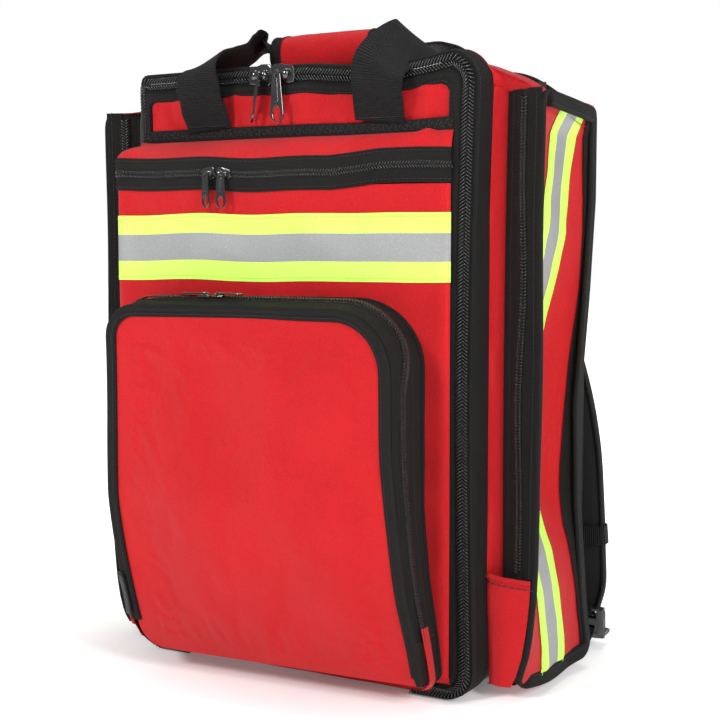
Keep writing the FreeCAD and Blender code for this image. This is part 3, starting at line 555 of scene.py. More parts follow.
def warp(P):
    P = np.array(P, float)
    P[..., 2] += droop(P[..., 0], P[..., 2])
    side = sstep(60, 140, np.abs(P[..., 0])) * np.sign(P[..., 0])
    P[..., 0] += side * bow(P[..., 2]) * 0.8
    return P


HW, ZT, ZB, GAP = 143.0, 460.0, 5.4, 97.0
RCS = {"tl": (9.0, 4.0), "tr": (17.0, 8.0), "br": (17.0, 5.0), "bl": (17.0, 5.0)}


def zip_loop(off=0.0, bottom=True):
    """The main zipper's centre line in the plane of the front, with its outward direction."""
    R = {k: max(r + off, rm) for k, (r, rm) in RCS.items()}
    h, zt, zb = HW + off, ZT + off, max(ZB - off, 0.6)

    def arc(sx, sz, r, a0, a1, n=16):
        a = np.linspace(a0, a1, n)
        cx, cz = sx * (h - r), (zt - r if sz > 0 else zb + r)
        return np.stack([cx + r * np.cos(a), cz + r * np.sin(a)], 1), np.stack([np.cos(a), np.sin(a)], 1)

    def line(p, q, nrm, n):
        t = np.linspace(0, 1, n + 2)[1:-1, None]
        return A(p) + (A(q) - A(p)) * t, np.repeat(A([nrm], float), n, 0)

    pi = math.pi
    parts = []
    if bottom:
        parts += [line((-GAP, zb), (-h + R["bl"], zb), (0, -1), 8), arc(-1, -1, R["bl"], -pi / 2, -pi)]
    parts += [line((-h, zb + R["bl"]), (-h, zt - R["tl"]), (-1, 0), 130), arc(-1, 1, R["tl"], pi, pi / 2),
              line((-h + R["tl"], zt), (h - R["tr"], zt), (0, 1), 90), arc(1, 1, R["tr"], pi / 2, 0),
              line((h, zt - R["tr"]), (h, zb + R["br"]), (1, 0), 130)]
    if bottom:
        parts += [arc(1, -1, R["br"], 0, -pi / 2), line((h - R["br"], zb), (GAP, zb), (0, -1), 8)]
    return np.vstack([a for a, _ in parts]), np.vstack([b for _, b in parts])


def loop3(off, y, bottom=True):
    p, n = zip_loop(off, bottom)
    P = np.stack([p[:, 0], np.full(len(p), float(y)), p[:, 1]], 1)
    O = np.stack([n[:, 0], np.zeros(len(n)), n[:, 1]], 1)
    w = np.clip(-n[:, 0], 0, 1) ** 2
    if off > 0:
        w = w * (1 - sstep(8.2, 9.6, off))
        P[:, 0] += w * (3.0 + 0.6 * off)
        P[:, 1] += w * 0.8 * min(off, 7.0)
    else:
        P[:, 0] += w * (3.0 + 0.38 * off)
    P = warp(P)
    if off > 8.5:
        P[:, 0] += np.sign(n[:, 0]) * np.maximum(0, 152.6 - np.abs(P[:, 0])) * sstep(0.9, 1.0, np.abs(n[:, 0]))
    return P, O


FRONT = A([0.0, -1.0, 0.0])

# ------------------------------------------------------------------ main zipper, both halves
LP, LO = loop3(0, -72.2)
on(teeth("main_teeth_lid", LP, -LO, FRONT, COIL, size=6.2, pitch=2.5, r=0.55, phase=0.0, tilt=0.75), "lid", "black_tape", "main_zip_lid_half")
wl = (np.clip(-LO[:, 0], 0, 1) ** 2)[:, None]
LOP = unit(LO * (1 - wl) + wl * A([-0.45, 0.85, 0]))
LFN = unit(FRONT * (1 - wl) + wl * A([-0.85, -0.45, 0]))
on(teeth("main_teeth_pack", LP, LOP, LFN, COIL, size=6.2, pitch=2.5, r=0.55, phase=0.5, tilt=0.75), "pack_body", "black_tape", "main_zip_pack_half")


def ruled(name, curves, mat, flip=False, smooth_n=1):
    """A sheet through a list of curves with the same number of points."""
    P = np.stack(curves, 1)
    return sheet(name, P, mat, flip)


def tape_rings(offs, ys, bottom=True):
    return [loop3(o, y, bottom)[0] for o, y in zip(offs, ys)]


lid_tape = ruled("main_tape_lid", tape_rings([-0.2, -5.6, -6.6, -9, -11.6, -13.8, -15.0], [-70.9, -70.9, -72.4, -73.3, -73.4, -72.8, -71.2]), BIND)
on(lid_tape, "lid", "black_tape", "lid_binding")
pk = ruled("main_tape_pack", tape_rings([0.2, 5.6, 6.4, 7.6, 8.8, 9.4, 9.6], [-70.9, -70.9, -71.6, -69.6, -63.0, -55.5, -50.0]), TAPE, True)
on(pk, "pack_body", "black_tape")
for off, y, body, nm in ((-13.2, -73.4, "lid", "lid"), (7.6, -68.8, "pack_body", "pack")):
    P, O = loop3(off, y)
    out = FRONT * 1.0 + (O if nm == "pack" else 0 * O)
    on(stitches(f"main_seam_{nm}", P, out, THREAD_K, pitch=3.4, length=2.3), body, "black_tape")

# ------------------------------------------------------------------ lid panel above the pockets
def lid_xy(nu=90, nv=70, z0=16.0, z1=446.5):
    u = np.linspace(-1, 1, nu)[:, None]
    z = np.linspace(z0, z1, nv)[None, :]
    r = 7.0
    w = 130.0 - np.where(z > z1 - r, r - np.sqrt(np.maximum(r * r - (z - (z1 - r)) ** 2, 0)), 0) - np.where(z < z0 + r, r - np.sqrt(np.maximum(r * r - (z0 + r - z) ** 2, 0)), 0)
    x = u * w
    z = z + 0 * u
    return x, z


x, z = lid_xy(150, 150)
y = -71.6 - 1.2 * nz(np.stack([x, 0 * x, z], -1), 26, 1) - 0.8 * np.exp(-((x + 26) / 5) ** 2) + 1.0 * np.exp(-((x + 2) / 4) ** 2) - 1.2 * np.exp(-((x - 110) / 5) ** 2) - 1.0 * np.exp(-((x + 52) / 4) ** 2)
P = warp(np.stack([x, y, z], -1))
lid_cloth = sheet("lid_front_cloth", P, RED)
edge = np.zeros(P.shape[:2]); edge[0] = edge[-1] = 1; edge[:, 0] = edge[:, -1] = 1
edge[(P[..., 2] < 412)] = 1
inflate(lid_cloth, edge.ravel(), pressure=0.6, shrink=-0.015, cap=2.2, frames=10)
on(lid_cloth, "lid", "red_fabric", "lid_panel")

band_path = warp(np.stack([np.linspace(-132.5, 133, 120), np.full(120, -73.6), np.full(120, 416.6)], 1))
band_path[:, 2] += np.linspace(0.5, -0.3, 120)
on(sweep("handle_band_tape", band_path, (0, 0, 1), flat_profile(9.6, 1.7), TAPE), "lid", "black_tape", "handle_anchor_band")
zig = band_path.copy(); zig[:, 1] -= 1.0
zz = []
for i, q in enumerate(np.linspace(0, 1, 150)):
    p = band_path[int(q * 119)].copy(); p[1] -= 1.0; p[2] += 2.2 if i % 2 else -2.2
    zz.append(p)
on(stitches("handle_band_zigzag", resample(A(zz), 900), FRONT, THREAD_K, pitch=2.6, length=2.2, r=0.34), "lid", "black_tape")

# ------------------------------------------------------------------ upper pocket: its outer skin at any height
def front_y(z):
    """Depth of the upper pocket's face at its left and right ends."""
    left = -108.0 + 18.0 * (1 - sstep(10, 300, z))
    right = -78.5 + 1.0 * (1 - sstep(10, 300, z))
    return left, right


NS = 170


def skin_row(z, lift=0.0, grow=0.0):
    """One horizontal row round the upper pocket, left seam to right seam, pushed out by lift."""
    L, R = front_y(z)
    L, R = float(L), float(R)
    pts = [(-135.5, -73.0), (-137.5, mix(-73, L, 0.3)), (-139.6, mix(-73, L, 0.65)), (-140.4, L + 6), (-138.6, L + 1.2), (-134, L - 0.6)]
    for k in np.linspace(0.06, 0.94, 12):
        pts.append((mix(-138, 133.5, k), mix(L, R, k) - 3.4 * math.sin(math.pi * k)))
    pts += [(127, R - 1.4), (131.5, R + 0.4), (133.6, R + 3.0)]
    p = spline([(a, b, 0) for a, b in pts], NS)[:, :2]
    t = unit(np.gradient(p, axis=0))
    n = np.stack([t[:, 1], -t[:, 0]], 1)
    q = p + n * lift
    return np.stack([q[:, 0], q[:, 1], np.full(NS, float(z))], 1)


def skin(zs, lift=0.0, wrinkle=1.0):
    P = np.stack([skin_row(z, lift) for z in zs], 1)
    w = 2.2 * nz(P * A([1, 0.2, 1.3]), 50, 3) + 1.1 * nz(P, 22, 4)
    fade = sstep(300, 285, P[..., 2]) * 0.4
    P[..., 2] += (1.3 * nz(P * A([1, 0, 0.25]), 48, 9) + 0.4 * np.sin(P[..., 0] / 17.0)) * wrinkle * sstep(18, 40, P[..., 2])
    P[..., 1] -= wrinkle * w * (1 - fade) * sstep(-140, -120, P[..., 0]) * sstep(134, 118, P[..., 0])
    return P


zs = np.linspace(18, 374.6, 150)
P = skin(zs)
on(sheet("upper_pocket_cloth", P, RED, True), "lid", "red_fabric", "upper_pocket")
# the foot of the front panel turns under
foot = [skin([18.0])[:, 0]]
for dz, dy in ((-4, 3.0), (-6, 8.0)):
    r = foot[0].copy(); r[:, 2] += dz; r[:, 1] = np.minimum(r[:, 1] + dy, -71.5)
    foot.append(r)
# darker red here: painted shade on the foot that turns under
on(sheet("front_foot_cloth", np.stack(foot, 1), RED_UNDERSIDE_SHADE), "lid", "red_fabric")

# reflective strip on its face
zs = np.linspace(304.6, 354.4, 26)
P = skin(zs, lift=0.55)
Pn = P[2:]
uvt = np.stack(np.broadcast_arrays(np.r_[0, np.cumsum(np.linalg.norm(np.diff(Pn[:, 0], axis=0), axis=1))][:, None], np.linspace(0, 1, 26)[None, :]), -1)
on(sheet("front_reflective_cloth", Pn, TAPE_Y, True, uvt), "lid", "reflective_tape", "front_reflective_tape")
for k, zz_ in enumerate((307.4, 351.6)):
    row = skin([zz_], lift=0.75)[4:, 0]
    on(stitches(f"front_reflective_seam_{k}", row, FRONT, THREAD_Y, pitch=4.2, length=2.8, r=0.26), "lid", "reflective_tape")


# the zipper band of the upper pocket
def band_wave(x):
    """The band's height wanders: lower in the middle, raised towards the right."""
    return np.interp(x, [-140, -90, -20, 45, 80, 110, 134], [0.5, -1.2, -2.5, -2.5, 1.5, 2.0, 1.5])


def band_sheet(name, z0, z1, lift, mat, nrow=6, bulge=0.0):
    zs_ = np.linspace(z0, z1, nrow)
    P_ = skin(zs_, lift=lift)
    prof = np.sin(np.linspace(0, math.pi, nrow)) * bulge
    P_[..., 1] -= prof[None, :]
    P_[..., 2] += band_wave(P_[..., 0])
    return sheet(name, P_, mat, True)


on(band_sheet("upper_tape_low", 373.6, 384.2, 0.9, TAPE, bulge=0.6), "lid", "black_tape", "upper_zip_lower_tape")
on(band_sheet("upper_gap_tape", 383.6, 386.4, 0.2, BLACK_CLOTH, nrow=3), "lid", "black_tape")
row = skin([386.4], lift=1.5)[:, 0]; row[:, 2] += band_wave(row[:, 0])
on(teeth("upper_teeth_low", row, -A([0, 0, 1.0]), FRONT, COIL, size=3.6, pitch=2.2, r=0.5), "lid", "black_tape")
on(teeth("upper_teeth_high", row, A([0, 0, 1.0]), FRONT, COIL, size=3.6, pitch=2.2, r=0.5, phase=0.5), "upper_flap", "black_tape")
hi = band_sheet("upper_tape_high", 386.6, 398.6, 1.1, TAPE, nrow=8, bulge=1.4)
on(hi, "upper_flap", "black_tape")
for k, zz_ in enumerate((376.2, 396.2)):
    row = skin([zz_], lift=1.9)[:, 0]; row[:, 2] += band_wave(row[:, 0])
    on(stitches(f"upper_band_seam_{k}", row, FRONT, THREAD_K, pitch=3.2, length=2.2), "lid" if k == 0 else "upper_flap", "black_tape")

# the flap: a sloping red gusset from the band up to the anchor band
fr = skin([398.4], lift=0.9)[:, 0]
fr[:, 2] += band_wave(fr[:, 0])
back = np.stack([np.linspace(-133.5, 133.5, NS), np.full(NS, -73.6), np.full(NS, 412.2)], 1)
back = warp(back)
rows = []
for t_ in np.linspace(0, 1, 14):
    r = mix(fr, back, t_)
    r[:, 2] += 3.0 * math.sin(math.pi * t_) * (1 + 0.5 * nz(r, 40, 5))
    r[:, 1] -= 1.6 * math.sin(math.pi * t_) * nz(r, 30, 6)
    rows.append(r)
P = np.stack(rows, 1)
tt = np.linspace(0, 1, 14)[None, :]
tip = sstep(-118, -140, P[..., 0]) * np.sin(math.pi * tt) ** 0.8
P[..., 0] -= 8.0 * tip
P[..., 2] += 3.5 * tip
fold = np.exp(-((P[..., 0] - 104 - (P[..., 2] - 400) * 0.9) / 5.0) ** 2)
fold = fold * sstep(0.0, 0.25, tt)
P[..., 2] += 1.8 * fold
P[..., 1] -= 1.5 * fold
flap = sheet("upper_flap_cloth", P, RED, True)
on(flap, "upper_flap", "red_fabric", "upper_pocket_flap")

# ------------------------------------------------------------------ lower pocket
FX, RXT = 117.0, 114.0


def foot_wide(x_, z_):
    """The door is not square: it widens towards its right foot and narrows a little at its left one."""
    return 11.5 * (1 - sstep(15, 235, z_)) * sstep(20, 100, x_) + 5.0 * np.clip(1 - z_ / 140.0, 0, 1) * sstep(-60, -110, x_)


def outline(t_kind):
    """Closed outline of the lower pocket: 'front' edge of the door or 'rear' seam on the panel. Starts at the bottom centre and runs up the left."""
    if t_kind == "front":
        zt_, zb_, w = 287.0, 15.0, FX
        tl, tr, bl, br = 24.0, 44.0, 24.0, 7.0
    else:
        zt_, zb_, w = 291.0, 17.0, RXT
        tl, tr, bl, br = 28.0, 48.0, 20.0, 6.0

    def arc(cx, cz, r, a0, a1, m):
        a = np.linspace(a0, a1, m + 1)
        return np.stack([cx + r * np.cos(a), cz + r * np.sin(a)], 1)[:-1]

    def line(p, q, m):
        return A(p) + (A(q) - A(p)) * np.linspace(0, 1, m + 1)[:-1, None]

    pi = math.pi
    out = np.vstack([line((0, zb_), (-w + bl, zb_), 26), arc(-w + bl, zb_ + bl, bl, -pi / 2, -pi, 12), line((-w, zb_ + bl), (-w, zt_ - tl), 62),
                     arc(-w + tl, zt_ - tl, tl, pi, pi / 2, 16), line((-w + tl, zt_), (w - tr, zt_), 42), arc(w - tr, zt_ - tr, tr, pi / 2, 0, 16),
                     line((w, zt_ - tr), (w, zb_ + br), 62), arc(w - br, zb_ + br, br, 0, -pi / 2, 12), line((w - br, zb_), (0, zb_), 26)])
    x_, z_ = out[:, 0], out[:, 1]
    if t_kind == "front":
        x_ = x_ + foot_wide(x_, z_)
    if t_kind == "rear":
        x_ = x_ + np.sign(x_) * 14 * (1 - sstep(10, 150, z_)) ** 1.2 * sstep(20, 100, np.abs(x_))
    return x_, z_


LEFT_ARC, RIGHT_ARC = 26, 248


def door_depth(x_, z_):
    d = -72.0 + 6.5 * (x_ / 115.0)
    z_ = np.asarray(z_, float)
    return -70.0 + d + 34.0 * np.clip(1 - z_ / 150.0, 0, 1) ** 1.5


def panel_depth(x_, z_):
    L, R = front_y(z_)
    k = np.clip((x_ + 138) / 271.5, 0, 1)
    return mix(L, R, k) - 3.4 * np.sin(math.pi * k) + 0.6


fx, fz = outline("front")
rx, rz = outline("rear")


def foot_rise(z_):
    return 3.4 * np.clip(1 - (np.asarray(z_, float) - 15.0) / 70.0, 0, 1)


Fr = np.stack([fx, door_depth(fx, fz) , fz], 1)
Re = np.stack([rx, panel_depth(rx, rz), rz], 1)
wob = nz(Fr, 60, 8)[:, None]
Fr = Fr + wob * A([0.8, 0.8, 0.8])
NO = len(Fr)
cen = A([0, 0, 150.0])
outw = unit((Fr - cen) * A([1, 0, 1]))
tg = unit(np.roll(Fr, -1, 0) - np.roll(Fr, 1, 0))
outw = unit(np.cross(tg, A([0, -1.0, 0])))
if (outw * (Fr - cen)).sum() < 0:
    outw = -outw


def gus(t_):
    """Row of the gusset at share t_ from the rear seam (0) to the door's edge (1)."""
    t_ = np.broadcast_to(np.asarray(t_, float), (NO,))[:, None]
    return mix(Re, Fr, t_) + outw * (2.2 * np.sin(math.pi * t_))


side_mask = fz > 50.0
Fr[:, 2] += foot_rise(Fr[:, 2])
idx_zip = np.nonzero(side_mask)[0]


def gus_sheet(name, ts, ids, mat, lift=0.0, flip=False):
    P_ = np.stack([gus(t_) + outw * lift for t_ in ts], 1)[ids]
    return sheet(name, P_, mat, flip)


zid = np.arange(idx_zip[0], idx_zip[-1] + 1)
low_l = np.arange(0, idx_zip[0] + 1)
low_r = np.r_[np.arange(idx_zip[-1], NO), [0]]
# the chain runs mid-gusset along the top and nearer the door down the sides
SPL = 0.52 + 0.2 * sstep(268, 225, fz) * sstep(60, 105, np.abs(fx))
on(gus_sheet("lower_tape_rear", np.linspace(0.0, SPL - 0.045, 10), zid, TAPE), "lid", "black_tape", "lower_pocket_gusset")
on(gus_sheet("lower_tape_front", np.linspace(SPL + 0.045, 0.97, 10), zid, TAPE), "lower_door", "black_tape", "lower_pocket_door_tape")
for nm, ids in (("l", low_l), ("r", low_r)):
    # darker red on the gusset's foot: painted shade
    on(gus_sheet(f"lower_foot_rear_{nm}", np.linspace(0.0, SPL, 10), ids, RED_UNDERSIDE_SHADE), "lid", "red_fabric")
    on(gus_sheet(f"lower_foot_front_{nm}", np.linspace(SPL, 0.99, 10), ids, RED_UNDERSIDE_SHADE), "lower_door", "red_fabric")
# black strips down both sides of the foot at the corners, with the red patch between them
for nm, ids in (("r", np.arange(idx_zip[-1], RIGHT_ARC + 1)), ("l", np.arange(LEFT_ARC, idx_zip[0] + 1))):
    on(gus_sheet(f"lower_foot_tape_rear_{nm}", np.linspace(0.0, SPL - 0.09, 6), ids, TAPE, lift=0.35), "lid", "black_tape")
    on(gus_sheet(f"lower_foot_tape_front_{nm}", np.linspace(SPL + 0.09, 0.97, 6), ids, TAPE, lift=0.35), "lower_door", "black_tape")
on(gus_sheet("lower_foot_patch", np.linspace(SPL - 0.13, SPL + 0.13, 6), np.arange(idx_zip[-1] - 3, RIGHT_ARC), RED, lift=2.7), "lid", "red_fabric")
cl = (gus(SPL) + outw * 1.5)[zid]
co_ = outw[zid]
fd = unit((Fr - Re))[zid]
on(teeth("lower_teeth_rear", cl, -fd, co_, COIL, size=5.4, pitch=2.4, r=0.58), "lid", "black_tape", "lower_pocket_zip")
on(teeth("lower_teeth_front", cl, fd, co_, COIL, size=5.4, pitch=2.4, r=0.58, phase=0.5), "lower_door", "black_tape")
on(gus_sheet("lower_chain_base", [SPL - 0.07, SPL, SPL + 0.055], zid, BLACK_CLOTH, lift=0.1), "lid", "black_tape")
for k, t_ in enumerate((0.12, 0.40)):
    on(stitches(f"lower_seam_rear_{k}", (gus(t_) + outw * 0.2)[zid], co_, THREAD_K, pitch=3.2, length=2.2), "lid", "black_tape")
on(stitches("lower_seam_front", (gus(SPL + 0.11) + outw * 0.3)[zid], co_, THREAD_K, pitch=3.2, length=2.2), "lower_door", "black_tape")

# rear seam binding and the door's edge binding
zix = np.arange(zid[0], RIGHT_ARC - 3)
seam_r = (Re + outw * 1.2 + FRONT * 1.0)[zix]
on(sweep("lower_rear_binding", seam_r, FRONT, flat_profile(6.5, 2.4), BIND, nrm=outw[zix]), "lid", "black_tape")
bid = np.arange(np.nonzero((fx < 0) & (fz > 36))[0][0], RIGHT_ARC - 2)
bp_ = (Fr - outw * 4.0 + FRONT * 0.2)[bid]
on(sweep("lower_door_binding", bp_, outw[bid], flat_profile(9.4, 3.0), BIND, nrm=np.repeat(FRONT[None], len(bid), 0)), "lower_door", "black_tape")
on(stitches("lower_door_seam", (Fr - outw * 6.2 + FRONT * 1.8)[bid], FRONT, THREAD_K, pitch=3.3, length=2.3), "lower_door", "black_tape")

# the door's face
nu, nv = 130, 150
zt_, zb_ = 287.0, 15.0
zv = np.linspace(zb_ + 0.2, zt_ - 4.0, nv)
def half_at(zq, wf, rt, rb):
    w = np.full(zq.shape, wf)
    w = np.where(zq > zt_ - rt, wf - rt + np.sqrt(np.maximum(rt ** 2 - (zq - (zt_ - rt)) ** 2, 0)), w)
    w = np.where(zq < zb_ + rb, wf - rb + np.sqrt(np.maximum(rb ** 2 - (zb_ + rb - zq) ** 2, 0)), w)
    return w
inset = 3.5 - 3.0 * (1 - sstep(15, 40, zv))
WL_, WR_ = half_at(zv, FX, 24.0, 24.0) - inset, half_at(zv, FX, 44.0, 7.0) - inset
u = np.linspace(-1, 1, nu)
u = np.sign(u) * np.abs(u) ** 0.92
x = mix((-WL_ + foot_wide(-WL_, zv))[None, :], (WR_ + foot_wide(WR_, zv))[None, :], (u[:, None] + 1) / 2)
z = np.repeat(zv[None], nu, 0)
puff = 6.0 * (1 - np.abs(u[:, None]) ** 2.6) * (1 - np.abs((z - 150) / 137.0) ** 3.2)
y = door_depth(x, z) - puff + 0.6
P = np.stack([x, y, z + foot_rise(z)], -1)
calm = sstep(zt_ - 5, zt_ - 34, z) * sstep(zb_, zb_ + 16, z) * (1 - np.abs(u[:, None]) ** 5)
sl = np.stack([P[..., 0] * 0.8 + P[..., 2] * 0.45, 0 * P[..., 0], P[..., 2] * 0.55 - P[..., 0] * 0.5], -1)
P[..., 1] -= (4.2 * nz(sl, 62, 11) + 1.2 * nz(P, 26, 12) + 0.9 * nz(sl * A([1, 1, 0.35]), 17, 15)) * calm
face = sheet("lower_pocket_cloth", P, RED)
near = np.minimum(np.minimum(zt_ - 4.0 - z, (z - zb_) * 1.5), np.minimum(x - x[:1], x[-1:] - x))
edge = 1 - sstep(9.0, 26.0, near)
inflate(face, edge.ravel(), pressure=1.6, shrink=-0.012, cap=6.0, frames=16)
on(face, "lower_door", "red_fabric", "lower_pocket_face")

# a plain folded tab on the left edge
tz = np.linspace(46, 80, 12)
ql = np.nonzero((fx < -80) & (fz > 30) & (fz < 120))[0]
tab = np.stack([np.interp(tz, fz[ql], Fr[ql, 0]) + 0.5, np.interp(tz, fz[ql], Fr[ql, 1]) - 2.4 + 0.8 * np.sin(tz / 8.0), tz], 1)
on(sweep("side_tab", tab, (1, -0.5, 0), flat_profile(8.5, 1.6), BLACK_CLOTH), "lower_door", "black_tape", "side_tag")

# ------------------------------------------------------------------ sides
def ssign(P, s):
    P = np.array(P, float); P[..., 0] *= s
    return P


def fin_front(z):
    z = np.asarray(z, float)
    return np.stack([np.interp(z, [5, 12, 20, 35, 50, 78, 100, 140, 430], [174, 177, 180.5, 185, 187.6, 190.5, 192, 193.2, 193.6]) + 0.6 * np.sin(z / 31.0), np.full(z.shape, -54.0), z], -1)


def fin_rear(z):
    z = np.asarray(z, float)
    x_ = np.interp(z, [5, 20, 51, 131, 210, 289, 366, 435], [189, 188, 184, 178.5, 177, 183, 187, 187]) + 4.0
    return np.stack([x_, np.full(z.shape, 58.0), z], -1)


def trough(z):
    """How far in the slack side panel falls at its middle, at each height."""
    return np.interp(z, [10, 20, 35, 59, 78, 100, 124, 142, 160, 235, 250, 267, 293, 315, 341, 380, 412, 431, 440], [184.5, 187, 186.5, 184.3, 181.7, 177, 168, 162.5, 160.5, 159.5, 161.5, 165.2, 171.4, 176, 180.3, 181.8, 183.5, 191, 193])


def panel_pt(s_, z):
    """A point of the side panel: s_ runs from the front fin (0) to the rear fin (1)."""
    a, b, t = fin_front(z)[..., 0], fin_rear(z)[..., 0], trough(z)
    s_ = np.asarray(s_, float) + 0 * a
    g = np.clip((s_ + 0.02) / 0.42, 0, 1)
    x_ = np.where(s_ < 0.55, mix(a, t, g ** 0.85 * (1.9 - 0.9 * g) / 1.0), mix(t, b, sstep(0.66, 1.06, s_)))
    x_ = np.where((s_ < 0.55) & (g >= 1), t, x_)
    x_ = x_ + 1.4 * np.sin(math.pi * s_) * np.clip((t - 178) / 14, 0, 1)
    return np.stack([x_, -54.0 + 112.0 * s_, z + 0 * s_], -1)


STRIP_T = 153.4


def strip_in(z):
    return 152.8 + 0.8 * bow(z) * 1.0


for sd, tag in ((1, "right"), (-1, "left")):
    fl = sd > 0
    # red strip from the zipper's tape to the side zipper
    zz_ = np.linspace(10, 443, 110)
    cols = []
    for k in np.linspace(0, 1, 9):
        x_ = mix(strip_in(zz_), 160.0 + 2.5 * (np.abs(zz_ - 230) / 230) ** 2, k)
        y_ = mix(-50.5, -39.0, k) - 1.4 * math.sin(math.pi * k)
        P_ = np.stack([x_, np.full_like(zz_, y_), zz_], 1)
        P_[:, 1] -= 1.3 * nz(P_ * A([1, 1, 0.7]), 30, 13 + sd) * math.sin(math.pi * k)
        cols.append(P_)
    on(sheet(f"front_strip_{tag}", ssign(np.stack(cols, 1), sd), RED, not fl), "pack_body", "red_fabric", *(["front_frame"] if fl else []))
    # side zipper band
    zz_ = np.linspace(86, 440.5, 110)
    a_ = np.stack([160.0 + 2.5 * (np.abs(zz_ - 230) / 230) ** 2 - 0.4, np.full_like(zz_, -39.4), zz_], 1)
    b_ = fin_front(zz_)
    b_[:, 0] -= 1.0
    wig = 1.7 * np.sin(zz_ / 42.0) + 1.0 * np.sin(zz_ / 23.0 + 1)
    def zb(k):
        r_ = mix(a_, b_, k)
        r_[:, 1] -= 1.6 * math.sin(math.pi * k)
        return r_
    nrm_ = unit(np.cross(b_ - a_, A([0, 0, 1.0])))
    if nrm_[0, 1] > 0:
        nrm_ = -nrm_
    cc = zb(0.53) + unit(b_ - a_) * wig[:, None]
    Lh = [zb(k) for k in np.linspace(0, 0.38, 5)] + [cc - unit(b_ - a_) * 2.6]
    Rh = [cc + unit(b_ - a_) * 2.6] + [zb(k) for k in np.linspace(0.68, 1.0, 5)]
    o1 = sheet(f"side_tape_in_{tag}", ssign(np.stack(Lh, 1), sd), TAPE, not fl)
    o2 = sheet(f"side_tape_out_{tag}", ssign(np.stack(Rh, 1), sd), TAPE, not fl)
    o3 = sheet(f"side_tape_mid_{tag}", ssign(np.stack([cc - unit(b_ - a_) * 3.0 - nrm_ * 0.8, cc + unit(b_ - a_) * 3.0 - nrm_ * 0.8], 1), sd), BLACK_CLOTH, not fl)
    for o in (o1, o2, o3):
        on(o, "pack_body", "black_tape", *(["side_zips"] if fl and o is o1 else []))
    cs, ns, ds = ssign(cc + nrm_ * 1.5, sd), ssign(nrm_, sd), ssign(unit(b_ - a_), sd)
    keep = slice(3, -2)
    on(teeth(f"side_teeth_in_{tag}", cs[keep], -ds[keep], ns[keep], COIL, size=4.8, pitch=2.3, r=0.56), "pack_body", "black_tape")
    on(teeth(f"side_teeth_out_{tag}", cs[keep], ds[keep], ns[keep], COIL, size=4.8, pitch=2.3, r=0.56, phase=0.5), "pack_body", "black_tape")
    for q, k in enumerate((0.2, 0.86)):
        on(stitches(f"side_zip_seam_{tag}_{q}", ssign(zb(k) + nrm_ * 0.4, sd), ns, THREAD_K, pitch=3.3, length=2.2), "pack_body", "black_tape")
    # red hem patch at the foot
    zz_ = np.linspace(11, 91, 40)
    cols = []
    ff = fin_front(zz_)
    for k in np.linspace(0, 1, 14):
        x_ = mix(strip_in(zz_) + 0.6, ff[:, 0] - 3.5, k)
        y_ = mix(-51.5, -54.5, k) - 2.6 * math.sin(math.pi * k)
        P_ = np.stack([x_, np.full_like(zz_, y_) , zz_ + (1 - k) * 2.0 * sstep(60, 91, zz_)], 1)
        P_[:, 1] -= 1.8 * nz(P_ * A([1, 1, 0.8]), 24, 21 + sd)
        cols.append(P_)
    P_ = np.stack(cols, 1)
    on(sheet(f"hem_patch_{tag}", ssign(P_, sd), RED, not fl), "pack_body", "red_fabric", *(["side_zip_hems"] if fl else []))
    for q, dz in enumerate((1.2, 6.0)):
        row = P_[-1].copy(); row = np.stack([np.interp(np.linspace(0, 13, 40), np.arange(14), row[:, j]) for j in range(3)], 1)
        row[:, 2] -= dz
        row[:, 1] -= 0.8
        if q == 1:
            on(stitches(f"hem_stitch_{tag}", ssign(row, sd), FRONT, THREAD_K, pitch=5.0, length=4.0, r=0.42), "pack_body", "red_fabric")
        else:
            on(sweep(f"hem_roll_{tag}", ssign(row, sd), (0, 0, 1), flat_profile(3.4, 2.2), RED), "pack_body", "red_fabric")
    # side panel
    sN, zN = 60, 120
    ss, zz_ = np.meshgrid(np.linspace(0.02, 0.985, sN), np.linspace(12, 437, zN), indexing="ij")
    P_ = panel_pt(ss, zz_)
    P_[..., 0] += (1.6 * nz(P_ * A([0.3, 1, 0.7]), 42, 31 + sd) + 0.8 * nz(P_, 17, 33 + sd)) * np.sin(math.pi * ss)
    panel = sheet(f"side_panel_{tag}", ssign(P_, sd), RED, not fl)
    ed = np.zeros((sN, zN)); ed[0] = ed[-1] = 1; ed[:, 0] = ed[:, -1] = 1
    on(panel, "pack_body", "red_fabric", *(["side_pocket_right", "side_pocket_left"] if fl else []))
    # reflective tape on it
    vv, zz_ = np.meshgrid(np.linspace(0, 1, 26), np.linspace(15, 434, 150), indexing="ij")
    s0 = np.interp(zz_, [12, 100, 380, 436], [0.225, 0.18, 0.28, 0.36]); s1 = np.interp(zz_, [12, 100, 380, 436], [0.60, 0.615, 0.725, 0.80])
    sv = mix(s0, s1, vv)
    T_ = panel_pt(sv, zz_)
    T_[..., 0] += (1.6 * nz(T_ * A([0.3, 1, 0.7]), 42, 31 + sd) + 0.8 * nz(T_, 17, 33 + sd)) * np.sin(math.pi * sv) + 0.8
    uvt = np.stack([zz_, vv], -1)
    on(sheet(f"side_reflective_{tag}", ssign(T_, sd), TAPE_Y, not fl, uvt), "pack_body", "reflective_tape", *(["side_reflective_tapes"] if fl else []))
    for q, j in enumerate((1, 24)):
        on(stitches(f"side_reflective_seam_{tag}_{q}", ssign(T_[j] + A([0.5, 0, 0]), sd), A([sd, 0, 0.0]), THREAD_Y, pitch=4.2, length=2.8, r=0.26), "pack_body", "reflective_tape")
